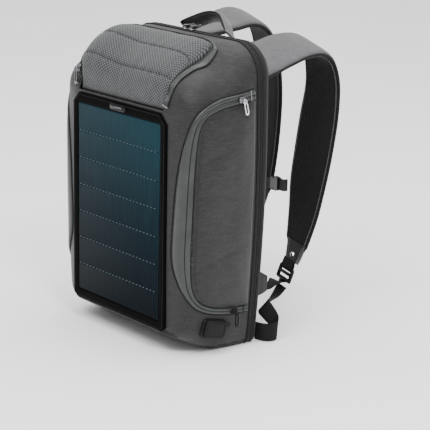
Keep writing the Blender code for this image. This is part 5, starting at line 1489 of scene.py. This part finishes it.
# ================================================================ shoulder straps
RIGHT_INNER = ((0.0400, 0.0950, 0.4230), (0.0430, 0.1150, 0.4300), (0.0450, 0.1400, 0.4340), (0.0450, 0.1670, 0.4400), (0.0450, 0.1980, 0.4420),
    (0.0450, 0.2220, 0.4370), (0.0450, 0.2400, 0.4200), (0.0450, 0.2470, 0.3900), (0.0450, 0.2480, 0.3600), (0.0450, 0.2400, 0.3170),
    (0.0460, 0.2300, 0.2610), (0.0480, 0.2220, 0.2160), (0.0520, 0.2170, 0.1700), (0.0600, 0.2080, 0.1350), (0.0700, 0.1960, 0.1080), (0.0780, 0.1850, 0.0930))
RIGHT_OUTER = ((0.1060, 0.0900, 0.3830), (0.1085, 0.1020, 0.3900), (0.1100, 0.1300, 0.3985), (0.1100, 0.1600, 0.4080), (0.1100, 0.1950, 0.4170),
    (0.1100, 0.2230, 0.4170), (0.1100, 0.2420, 0.4040), (0.1100, 0.2530, 0.3790), (0.1100, 0.2560, 0.3500), (0.1100, 0.2540, 0.3100),
    (0.1100, 0.2450, 0.2560), (0.1100, 0.2340, 0.2100), (0.1100, 0.2200, 0.1640), (0.1100, 0.2040, 0.1280), (0.1110, 0.1900, 0.1030), (0.1120, 0.1790, 0.0900))
LEFT_INNER = ((-0.0400, 0.0950, 0.4300), (-0.0420, 0.1150, 0.4340), (-0.0430, 0.1500, 0.4370), (-0.0430, 0.1850, 0.4410), (-0.0430, 0.2130, 0.4440),
    (-0.0430, 0.2350, 0.4380), (-0.0430, 0.2530, 0.4200), (-0.0430, 0.2650, 0.3920), (-0.0430, 0.2710, 0.3600), (-0.0430, 0.2740, 0.3170),
    (-0.0430, 0.2715, 0.2610), (-0.0450, 0.2665, 0.2060), (-0.0500, 0.2620, 0.1660), (-0.0570, 0.2550, 0.1350), (-0.0670, 0.2400, 0.1060), (-0.0760, 0.2260, 0.0900))
LEFT_OUTER = ((-0.1060, 0.0950, 0.4050), (-0.1070, 0.1150, 0.4250), (-0.1080, 0.1450, 0.4420), (-0.1080, 0.1800, 0.4560), (-0.1080, 0.2080, 0.4620),
    (-0.1080, 0.2360, 0.4560), (-0.1080, 0.2590, 0.4370), (-0.1080, 0.2720, 0.4050), (-0.1080, 0.2785, 0.3650), (-0.1080, 0.2815, 0.3170),
    (-0.1080, 0.2785, 0.2610), (-0.1080, 0.2730, 0.2060), (-0.1080, 0.2670, 0.1660), (-0.1080, 0.2590, 0.1330), (-0.1090, 0.2445, 0.1030), (-0.1100, 0.2310, 0.0870))


def strap_rows(inner_edge, outer_edge, per_span):
    a, b = catmull(inner_edge, per_span), catmull(outer_edge, per_span)
    rows = []
    for i, (p, q) in enumerate(zip(a, b)):
        prev, nxt = max(i - 1, 0), min(i + 1, len(a) - 1)
        along = (a[nxt] + b[nxt] - a[prev] - b[prev]).normalized()
        across = (q - p).normalized()
        normal = along.cross(across).normalized()
        mid = (p + q) / 2
        centre = Vector((0.075 if p.x > 0 else -0.075, 0.17, 0.25))
        if normal.dot(mid - centre) < 0:
            normal = -normal
        rows.append((p, q, along, normal))
    return rows


def make_strap(side, ie, oe):
    s = 1 if side == "right" else -1
    per = 8
    rows = strap_rows(ie, oe, per)
    n = len(rows) - 1
    first, cut = 4, n - 12 if side == "right" else n - 24
    length = [0.0]
    for i in range(first, cut):
        length.append(length[-1] + ((rows[i + 1][0] + rows[i + 1][1]) / 2 - (rows[i][0] + rows[i][1]) / 2).length)
    # section of the pad, from one edge over the outer face to the other and back under: position across, lift
    top = [(0.0, 0.0052), (0.012, 0.0070), (0.035, 0.0088), (0.10, 0.0098), (0.25, 0.0104), (0.5, 0.0106), (0.75, 0.0104), (0.90, 0.0098), (0.965, 0.0088), (0.988, 0.0070), (1.0, 0.0052)]
    low = [(1.0, 0.0036), (0.988, 0.0020), (0.960, 0.0006), (0.90, -0.0004), (0.75, -0.0010), (0.5, -0.0012), (0.25, -0.0010), (0.10, -0.0004), (0.040, 0.0006), (0.012, 0.0020), (0.0, 0.0036)]
    sect = top + low
    loops = []
    for k, i in enumerate(range(first, cut + 1)):
        p, q, along, nrm = rows[i]
        ends = min(smooth((i - first) / 5), smooth((cut - i) / 7))
        line = []
        for t, h in sect:
            c = p.lerp(q, t)
            h2 = 0.0048 + (h - 0.0048) * (0.45 + 0.55 * ends)
            h2 += 0.0005 * wob(c.x, c.y, c.z, 0.030, 41 + s) * (1 if 0.05 < t < 0.95 else 0)
            line.append(tuple(c + nrm * h2))
        loops.append(line)
    m = len(sect)

    def fm(i, j):
        return 0 if j < len(top) - 1 else (1 if j in (len(top) - 1, m - 1) else 2)

    width = 0.07
    bm = bmesh.new()
    layer = bm.loops.layers.uv.new("UVMap")
    vs = [[bm.verts.new(p) for p in loop] for loop in loops]
    for i in range(len(loops) - 1):
        for j in range(m):
            k = (j + 1) % m
            f = bm.faces.new((vs[i][j], vs[i][k], vs[i + 1][k], vs[i + 1][j]))
            f.material_index = fm(i, j)
            for loop, (a, b) in zip(f.loops, ((i, j), (i, k), (i + 1, k), (i + 1, j))):
                loop[layer].uv = (sect[b][0] * width, length[a])
    bm.faces.new(list(reversed(vs[0])))
    bm.faces.new(vs[-1])
    fix_normals(bm)
    mesh = bpy.data.meshes.new(f"shoulder_strap_{side}")
    bm.to_mesh(mesh)
    bm.free()
    strap = finish_object(f"shoulder_strap_pad_{side}", mesh, ["fabric_light", "trim_black", "air_mesh"], "back", True, 60)
    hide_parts(f"shoulder_strap_{side}")
    # bound edges
    for k, t in ((1, -0.006), (2, 1.006)):
        pts = [rows[i][0].lerp(rows[i][1], t) + rows[i][3] * 0.0044 for i in range(first + 1, cut)]
        tube(f"strap_binding_{side}_{k}", pts, 0.0021, "trim_black", "back", sides=10, flat=1.0)
        pts = [rows[i][0].lerp(rows[i][1], lerp(t, 0.5, 0.07)) + rows[i][3] * 0.0002 for i in range(first + 2, cut - 1)]
        tube(f"strap_welt_{side}_{k}", pts, 0.0009, "welt_grey", "back", sides=8)
    # sewn root: the strap runs down into the back panel's top seam
    i0 = first
    p, q, along, nrm = rows[i0]
    root = []
    for t in np.linspace(0.03, 0.97, 8):
        c = p.lerp(q, t)
        y_in = tray_back(c.z - 0.012) + 0.0004
        root.append((c, Vector((c.x, y_in, c.z - 0.012))))
    loops = []
    for a, b in root:
        d = (b - a).normalized()
        w = nrm * 0.0016
        loops.append([tuple(a + nrm * 0.0044 + w), tuple(a.lerp(b, 0.5) + nrm * 0.0030 + w), tuple(b + w * 0.6), tuple(b - w * 0.6), tuple(a.lerp(b, 0.5) + nrm * 0.0030 - w), tuple(a + nrm * 0.0044 - w)])
    solid_loops(f"strap_root_{side}", loops, ["fabric_black"], "back", bevel=0.0004, angle=45)

    # leatherette end piece
    e0, e1 = cut - 2, n - 4
    sect2 = [(0.02, 0.0050), (0.06, 0.0068), (0.3, 0.0076), (0.7, 0.0076), (0.94, 0.0068), (0.98, 0.0050), (0.98, 0.0024), (0.94, 0.0008), (0.7, 0.0002), (0.3, 0.0002), (0.06, 0.0008), (0.02, 0.0024)]
    loops = []
    for i in range(e0, e1 + 1):
        p, q, along, nrm = rows[i]
        k = 1 - 0.10 * smooth((i - e0) / (e1 - e0))
        loops.append([tuple(p.lerp(q, 0.5 + (t - 0.5) * k) + nrm * h) for t, h in sect2])
    end = solid_loops(f"strap_end_patch_{side}", loops, ["leatherette"], "back", bevel=0.0, angle=50)
    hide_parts(f"strap_end_{side}")
    for k, t in ((1, 0.10), (2, 0.90)):
        pts = [rows[i][0].lerp(rows[i][1], t) + rows[i][3] * 0.0002 for i in range(e0 + 1, e1)]
        stitches(f"strap_end_stitches_{side}_{k}", pts, lambda m, i=i: -rows[e0][3], "thread_light", "back", length=0.0026, gap=0.0014, radius=0.0004)
        pts = [rows[i][0].lerp(rows[i][1], t) + rows[i][3] * 0.0076 for i in range(e0 + 1, e1)]
        stitches(f"strap_end_stitches_out_{side}_{k}", pts, lambda m, i=i: rows[e0][3], "thread_light", "back", length=0.0026, gap=0.0014, radius=0.0004)
    # domed rivet on the inner face
    lo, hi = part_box(f"strap_rivet_{side}")
    c = (Vector(lo) + Vector(hi)) / 2 - OFF
    best = min(range(len(rows)), key=lambda i: ((rows[i][0] + rows[i][1]) / 2 - c).length)
    nrm, along = rows[best][3], rows[best][2]
    across = nrm.cross(along).normalized()
    base = (rows[best][0] + rows[best][1]) / 2 + nrm * 0.0008
    loops = []
    for h, r in ((0.0004, 0.0046), (-0.0006, 0.0046), (-0.0010, 0.0040), (-0.0022, 0.0034), (-0.0030, 0.0022), (-0.0033, 0.0008)):
        loops.append([tuple(base + nrm * h + across * (r * math.cos(2 * math.pi * j / 20)) + along * (r * math.sin(2 * math.pi * j / 20))) for j in range(20)])
    rivet = solid_loops(f"strap_rivet_dome_{side}", loops, ["chrome_bright"], "back", angle=60)
    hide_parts(f"strap_rivet_{side}")
    make_adjuster(side, rows[n])
    return rows


def make_adjuster(side, row):
    s = 1 if side == "right" else -1
    p, q, along, _ = row
    mid = (p + q) / 2
    across = (q - p).normalized()
    normal = along.cross(across).normalized()
    centre = mid + along * 0.0150

    def place(u, v, d):
        return centre + across * u + along * v + normal * d

    # ladder-lock frame with rounded rails and two raised bars
    outline = rounded(-0.0190, 0.0190, -0.0125, 0.0125, 0.0035, 4)
    bm = bmesh.new()
    loops = [[tuple(place(u * k, v * k2, d)) for u, v in outline] for d, k, k2 in ((-0.0024, 0.97, 0.95), (-0.0012, 1.0, 1.0), (0.0012, 1.0, 1.0), (0.0024, 0.97, 0.95))]
    body = solid_loops(f"adjuster_frame_{side}", loops, ["plastic_gloss"], "back", angle=40)
    for v0, v1 in ((-0.0090, -0.0035), (0.0020, 0.0085)):
        cm = bpy.data.meshes.new("slot")
        bm2 = bmesh.new()
        a, b = [[bm2.verts.new(place(u, v, d) + OFF) for u, v in ((-0.0145, v0), (0.0145, v0), (0.0145, v1), (-0.0145, v1))] for d in (-0.01, 0.01)]
        for j in range(4):
            bm2.faces.new((a[j], a[(j + 1) % 4], b[(j + 1) % 4], b[j]))
        bm2.faces.new(list(reversed(a)))
        bm2.faces.new(b)
        fix_normals(bm2)
        bm2.to_mesh(cm)
        bm2.free()
        cutter = bpy.data.objects.new("slot", cm)
        bpy.context.scene.collection.objects.link(cutter)
        boolean(body, cutter)
    bm.free()
    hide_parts(f"adjuster_{side}")
    for k, v in ((1, -0.0004), (2, 0.0104)):
        pts = [place(u, v, 0.0022) for u in np.linspace(-0.0150, 0.0150, 9)]
        tube(f"adjuster_bar_{side}_{k}", pts, 0.0014, "plastic_gloss", "back", sides=8)
    # short loop of webbing from the end piece through the upper slot
    w = across * 0.0130
    path = catmull([tuple(mid - along * 0.010 + normal * 0.0030), tuple(place(0, -0.0110, 0.0034)), tuple(place(0, -0.0060, 0.0008)), tuple(place(0, -0.0110, -0.0034)), tuple(mid - along * 0.010 - normal * 0.0016)], 6)
    ribbon(f"adjuster_loop_{side}", path, [w] * len(path), 0.0014, "back", s)
    tab_tip = Vector((s * 0.1240, 0.1130, 0.0800))
    start = centre + along * 0.0060
    w0 = across * 0.0125
    if w0.x * s < 0:
        w0 = -w0
    w1 = Vector((s * 0.0060, 0.0, 0.0110))
    path = catmull([tuple(start), tuple(centre + along * 0.0150), tuple((centre + along * 0.0150).lerp(tab_tip, 0.5) + Vector((0, 0, -0.003))), tuple(tab_tip)], 10)
    widths = [w0.lerp(w1, smooth(i / (len(path) - 1))) for i in range(len(path))]
    low = ribbon(f"lower_webbing_band_{side}", path, widths, 0.0015, "back", s)
    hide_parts(f"lower_webbing_{side}")
    # corner tab: folded cloth triangle sewn to the back panel
    z0, z1 = 0.1120, 0.0700
    a0, a1 = Vector((s * 0.1400, tray_back(z0) + 0.0002, z0)), Vector((s * 0.1400, tray_back(z1) + 0.0002, z1))
    b0, b1 = Vector((s * 0.1245, 0.1120, 0.0930)), Vector((s * 0.1236, 0.1120, 0.0690))
    loops = []
    for t in np.linspace(0, 1, 9):
        u, v = a0.lerp(b0, t), a1.lerp(b1, t)
        bow = Vector((s * 0.0015 * math.sin(math.pi * t), 0, 0))
        c = Vector((s * 0.0012, 0, 0))
        loops.append([tuple(u + bow + c), tuple(u.lerp(v, 0.5) + bow + c * 1.2), tuple(v + bow + c), tuple(v + bow - c), tuple(u.lerp(v, 0.5) + bow - c * 1.2), tuple(u + bow - c)])
    tab = solid_loops(f"corner_tab_cloth_{side}", loops, ["fabric_black"], "back", bevel=0.0005, angle=50)
    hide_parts(f"corner_tab_{side}")
    for k, off in ((1, 0.10), (2, 0.90)):
        pts = [a0.lerp(b0, t).lerp(a1.lerp(b1, t), off) + Vector((s * 0.0030, 0, 0)) for t in np.linspace(0.05, 0.95, 12)]
        stitches(f"corner_tab_stitches_{side}_{k}", pts, lambda m: (s, 0, 0), "thread_dark", "back")
    # loose end of the webbing
    base = centre + along * 0.0146 + Vector((0, 0, -0.0065))
    if side == "right":
        pts = [tuple(base), (s * 0.1150, 0.1330, 0.0480), (s * 0.1310, 0.1010, 0.0500), (s * 0.1410, 0.1000, 0.0430), (s * 0.1490, 0.1050, 0.0330),
               (s * 0.1550, 0.1080, 0.0230), (s * 0.1590, 0.1040, 0.0160), (s * 0.1580, 0.0930, 0.0150), (s * 0.1500, 0.0840, 0.0150), (s * 0.1360, 0.0800, 0.0150)]
    else:
        pts = [tuple(base), (s * 0.1150, 0.1900, 0.0520), (s * 0.1200, 0.1700, 0.0380), (s * 0.1230, 0.1560, 0.0250), (s * 0.1200, 0.1420, 0.0205),
               (s * 0.1080, 0.1330, 0.0205), (s * 0.0930, 0.1340, 0.0205), (s * 0.0860, 0.1450, 0.0205), (s * 0.0880, 0.1580, 0.0205)]
    if side == "right":
        widths = [tuple(w0), (s * 0.0100, 0.0030, 0.0070), (s * 0.0050, 0.0060, 0.0100), (s * 0.0020, 0.0060, 0.0115), (0.0, 0.0050, 0.0120), (0.0, 0.0030, 0.0130)] + [(0.0, 0.0, 0.0140)] * 4
    else:
        widths = [tuple(w0), (s * 0.0110, 0.0, 0.0060), (s * 0.0080, 0.0, 0.0100), (s * 0.0030, 0.0, 0.0130)] + [(0.0, 0.0, 0.0140)] * 5
    path, half = catmull(pts, 10), catmull(widths, 10)
    tail = ribbon(f"webbing_tail_band_{side}", path, half, 0.0014, "back", s)
    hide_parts(f"webbing_tail_{side}")


def ribbon(name, path, half, thick, body, s, mat="webbing_rib"):
    rows, dist = [], [0.0]
    for a, b in zip(path, path[1:]):
        dist.append(dist[-1] + (b - a).length)
    ts = (-1.0, -0.93, -0.5, 0.0, 0.5, 0.93, 1.0)
    loops = []
    for i, (p, w) in enumerate(zip(path, half)):
        w = Vector(w)
        prev, nxt = path[max(i - 1, 0)], path[min(i + 1, len(path) - 1)]
        n = (nxt - prev).cross(w).normalized() * (thick / 2)
        line = [p + w * t + n * (0.6 if abs(t) == 1 else 1.0) for t in ts] + [p + w * t - n * (0.6 if abs(t) == 1 else 1.0) for t in reversed(ts)]
        loops.append([tuple(q) for q in line])
    m = len(loops[0])
    bm = bmesh.new()
    layer = bm.loops.layers.uv.new("UVMap")
    vs = [[bm.verts.new(p) for p in loop] for loop in loops]
    us = [t for t in ts] + [t for t in reversed(ts)]
    for i in range(len(loops) - 1):
        for j in range(m):
            k = (j + 1) % m
            f = bm.faces.new((vs[i][j], vs[i][k], vs[i + 1][k], vs[i + 1][j]))
            for loop, (a, b) in zip(f.loops, ((i, j), (i, k), (i + 1, k), (i + 1, j))):
                loop[layer].uv = (us[b] * 0.0125, dist[a])
    bm.faces.new(list(reversed(vs[0])))
    bm.faces.new(vs[-1])
    fix_normals(bm)
    mesh = bpy.data.meshes.new(name)
    bm.to_mesh(mesh)
    bm.free()
    return finish_object(name, mesh, [mat], body, True, 50)


def make_sternum():
    a = Vector((0.0455, 0.2185, 0.2045))
    b = Vector((-0.0600, 0.2632, 0.1830))
    m = a.lerp(b, 0.5)
    d = (b - a).normalized()
    up = Vector((0, 0, 1))
    n = d.cross(up).normalized()
    for name, p, q in (("right", a, m - d * 0.0190), ("left", m + d * 0.0190, b)):
        path = [p.lerp(q, t) + Vector((0, 0, -0.0014 * math.sin(math.pi * t))) for t in np.linspace(0, 1, 12)]
        band = ribbon(f"sternum_webbing_{name}", path, [(0, 0, 0.0098)] * 12, 0.0016, "back", 1)
        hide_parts(f"sternum_strap_{name}")

    def place(u, v, w):
        return m + d * u + up * v + n * w

    def body(name, outline, t, node):
        loops = [[tuple(place(u, v * k, w)) for u, v in outline] for w, k in ((-t, 0.90), (-t * 0.6, 1.0), (t * 0.6, 1.0), (t, 0.90))]
        obj = solid_loops(name, loops, ["plastic_black"], "back", bevel=0.0004, angle=45)
        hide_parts(node)
        return obj

    socket = [(-0.0190, -0.0100), (-0.0150, -0.0112), (-0.0060, -0.0124), (-0.0012, -0.0116), (-0.0012, 0.0116), (-0.0060, 0.0124), (-0.0150, 0.0112), (-0.0190, 0.0100)]
    body("sternum_buckle_socket", socket, 0.0034, "sternum_socket")
    plug = [(0.0000, -0.0086), (0.0060, -0.0094), (0.0090, -0.0120), (0.0140, -0.0116), (0.0190, -0.0104), (0.0190, 0.0104), (0.0140, 0.0116), (0.0090, 0.0120), (0.0060, 0.0094), (0.0000, 0.0086)]
    body("sternum_buckle_plug", plug, 0.0028, "sternum_plug")


# ================================================================ carry handle
def make_handle():
    pts = [(-0.0540, 0.0830, 0.4530), (-0.0400, 0.0905, 0.4610), (-0.0180, 0.1010, 0.4710), (0.0, 0.1040, 0.4735), (0.0180, 0.1010, 0.4710), (0.0400, 0.0905, 0.4610), (0.0540, 0.0830, 0.4530)]
    path = catmull(pts, 8)
    w = Vector((0.0, 0.0098, -0.0080))
    sect = [(-1.0, 0.0), (-0.94, 0.45), (-0.6, 0.9), (0.0, 1.0), (0.6, 0.9), (0.94, 0.45), (1.0, 0.0), (0.94, -0.45), (0.6, -0.9), (0.0, -1.0), (-0.6, -0.9), (-0.94, -0.45)]
    loops = []
    for i, p in enumerate(path):
        a, b = path[max(i - 1, 0)], path[min(i + 1, len(path) - 1)]
        n = (b - a).cross(w).normalized()
        if n.z < 0:
            n = -n
        t = i / (len(path) - 1)
        thick = 0.0016 + 0.0034 * smooth(min(t, 1 - t) / 0.22)
        loops.append([tuple(p + w * u + n * (v * thick)) for u, v in sect])
    m = len(sect)
    # the upper half of the section wears the lighter fabric and the lower half the darker grey: the darker underside is
    # painted shade under the arch
    handle = solid_loops("carry_handle_cloth", loops, ["fabric_light", "fabric_grey"], "handle", face_mat=lambda i, j: 0 if j < 6 else 1, angle=60)
    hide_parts("carry_handle")
    for k, sgn in ((1, -1), (2, 1)):
        line = [p + w * (sgn * 1.0) for p in path[1:-1]]
        tube(f"handle_binding_{k}", line, 0.0012, "trim_black", "handle", sides=8)
    for s, name in ((1, "right"), (-1, "left")):
        # sewn-down ends of the handle, lying flat on the panel
        c = Vector((s * 0.0560, 0.0, 0.4360))
        a = Vector((s * 0.0545, 0.0822, 0.4520))
        loops = []
        for t in np.linspace(0, 1, 7):
            z = lerp(0.4515, 0.4180, t)
            y = tray_back(z) + lerp(0.0018, 0.0010, t)
            x = s * lerp(0.0545, 0.0580, t)
            hw = lerp(0.0105, 0.0115, t)
            loops.append([(x - hw, y, z), (x, y + 0.0006, z), (x + hw, y, z), (x + hw, y - 0.0012, z), (x - hw, y - 0.0012, z)])
        solid_loops(f"handle_foot_{name}", loops, ["webbing_rib"], "back", bevel=0.0003, angle=50)


# ================================================================ build
bag = make_shell()
sides = {name: make_side(s, name) for s, name in ((1, "right"), (-1, "left"))}
make_hood()
make_solar()
make_usb()
make_zips()
make_rear()
make_strap("right", RIGHT_INNER, RIGHT_OUTER)
make_strap("left", LEFT_INNER, LEFT_OUTER)
make_sternum()
make_handle()


# ================================================================ camera, lights and floor
def make_camera():
    az, el, dist, focal, tx, tz, roll = 50.0, 14.72202, 2.48657, 1632.05221, 0.08374, -0.05016, 1.60065
    a, e, r = math.radians(az), math.radians(el), math.radians(roll)
    back = Vector((math.sin(a) * math.cos(e), -math.cos(a) * math.cos(e), math.sin(e)))
    right = Vector((math.cos(a), math.sin(a), 0))
    up = back.cross(right)
    r2 = right * math.cos(r) + up * math.sin(r)
    u2 = up * math.cos(r) - right * math.sin(r)
    data = bpy.data.cameras.new("camera")
    data.sensor_width = 36
    data.lens = focal * 36 / 430
    data.clip_start, data.clip_end = 0.05, 50
    cam = bpy.data.objects.new("camera", data)
    pos = Vector((1.8961, -1.4817, 0.8118)) + OFF
    rot = Matrix((r2, u2, back)).transposed().to_4x4()
    cam.matrix_world = Matrix.Translation(pos) @ rot
    bpy.context.scene.collection.objects.link(cam)
    bpy.context.scene.camera = cam
    return cam


def area(name, loc, target, size, energy, colour=(1, 1, 1)):
    data = bpy.data.lights.new(name, "AREA")
    data.shape = "RECTANGLE"
    data.size, data.size_y = size
    data.energy = energy
    data.color = colour
    obj = bpy.data.objects.new(name, data)
    loc, target = Vector(loc), Vector(target)
    obj.location = loc
    obj.rotation_euler = (target - loc).to_track_quat("-Z", "Y").to_euler()
    bpy.context.scene.collection.objects.link(obj)
    return obj


def make_stage():
    mesh = bpy.data.meshes.new("floor")
    s = 14.0
    mesh.from_pydata([(-s, -s, 0), (s, -s, 0), (s, s, 0), (-s, s, 0)], [], [(0, 1, 2, 3)])
    mesh.materials.append(MATS["floor_pale"])
    floor = bpy.data.objects.new("floor", mesh)
    floor.location = (0, 0, -0.0003)
    bpy.context.scene.collection.objects.link(floor)
    world = bpy.data.worlds.new("studio")
    bpy.context.scene.world = world
    world.use_nodes = True
    tree = world.node_tree
    bg = tree.nodes["Background"]
    coords = tree.nodes.new("ShaderNodeTexCoord")
    split = tree.nodes.new("ShaderNodeSeparateXYZ")
    ramp = tree.nodes.new("ShaderNodeValToRGB")
    ramp.color_ramp.elements[0].position = 0.0
    ramp.color_ramp.elements[0].color = (0.07, 0.07, 0.07, 1)
    ramp.color_ramp.elements[1].position = 1.0
    ramp.color_ramp.elements[1].color = (1.0, 1.0, 1.0, 1)
    tree.links.new(coords.outputs["Generated"], split.inputs[0])
    tree.links.new(split.outputs[2], ramp.inputs["Fac"])
    tree.links.new(ramp.outputs["Color"], bg.inputs["Color"])
    bg.inputs["Strength"].default_value = 2.35
    area("key", (0.5, -2.2, 2.9), (0.0, -0.10, 0.30), (1.2, 1.0), 60)
    area("side", (2.2, -0.9, 2.4), (0, 0.0, 0.36), (0.7, 0.7), 62)
    area("top", (0.0, 0.6, 2.8), (0, 0.05, 0.3), (1.6, 1.6), 34)


make_camera()
make_stage()
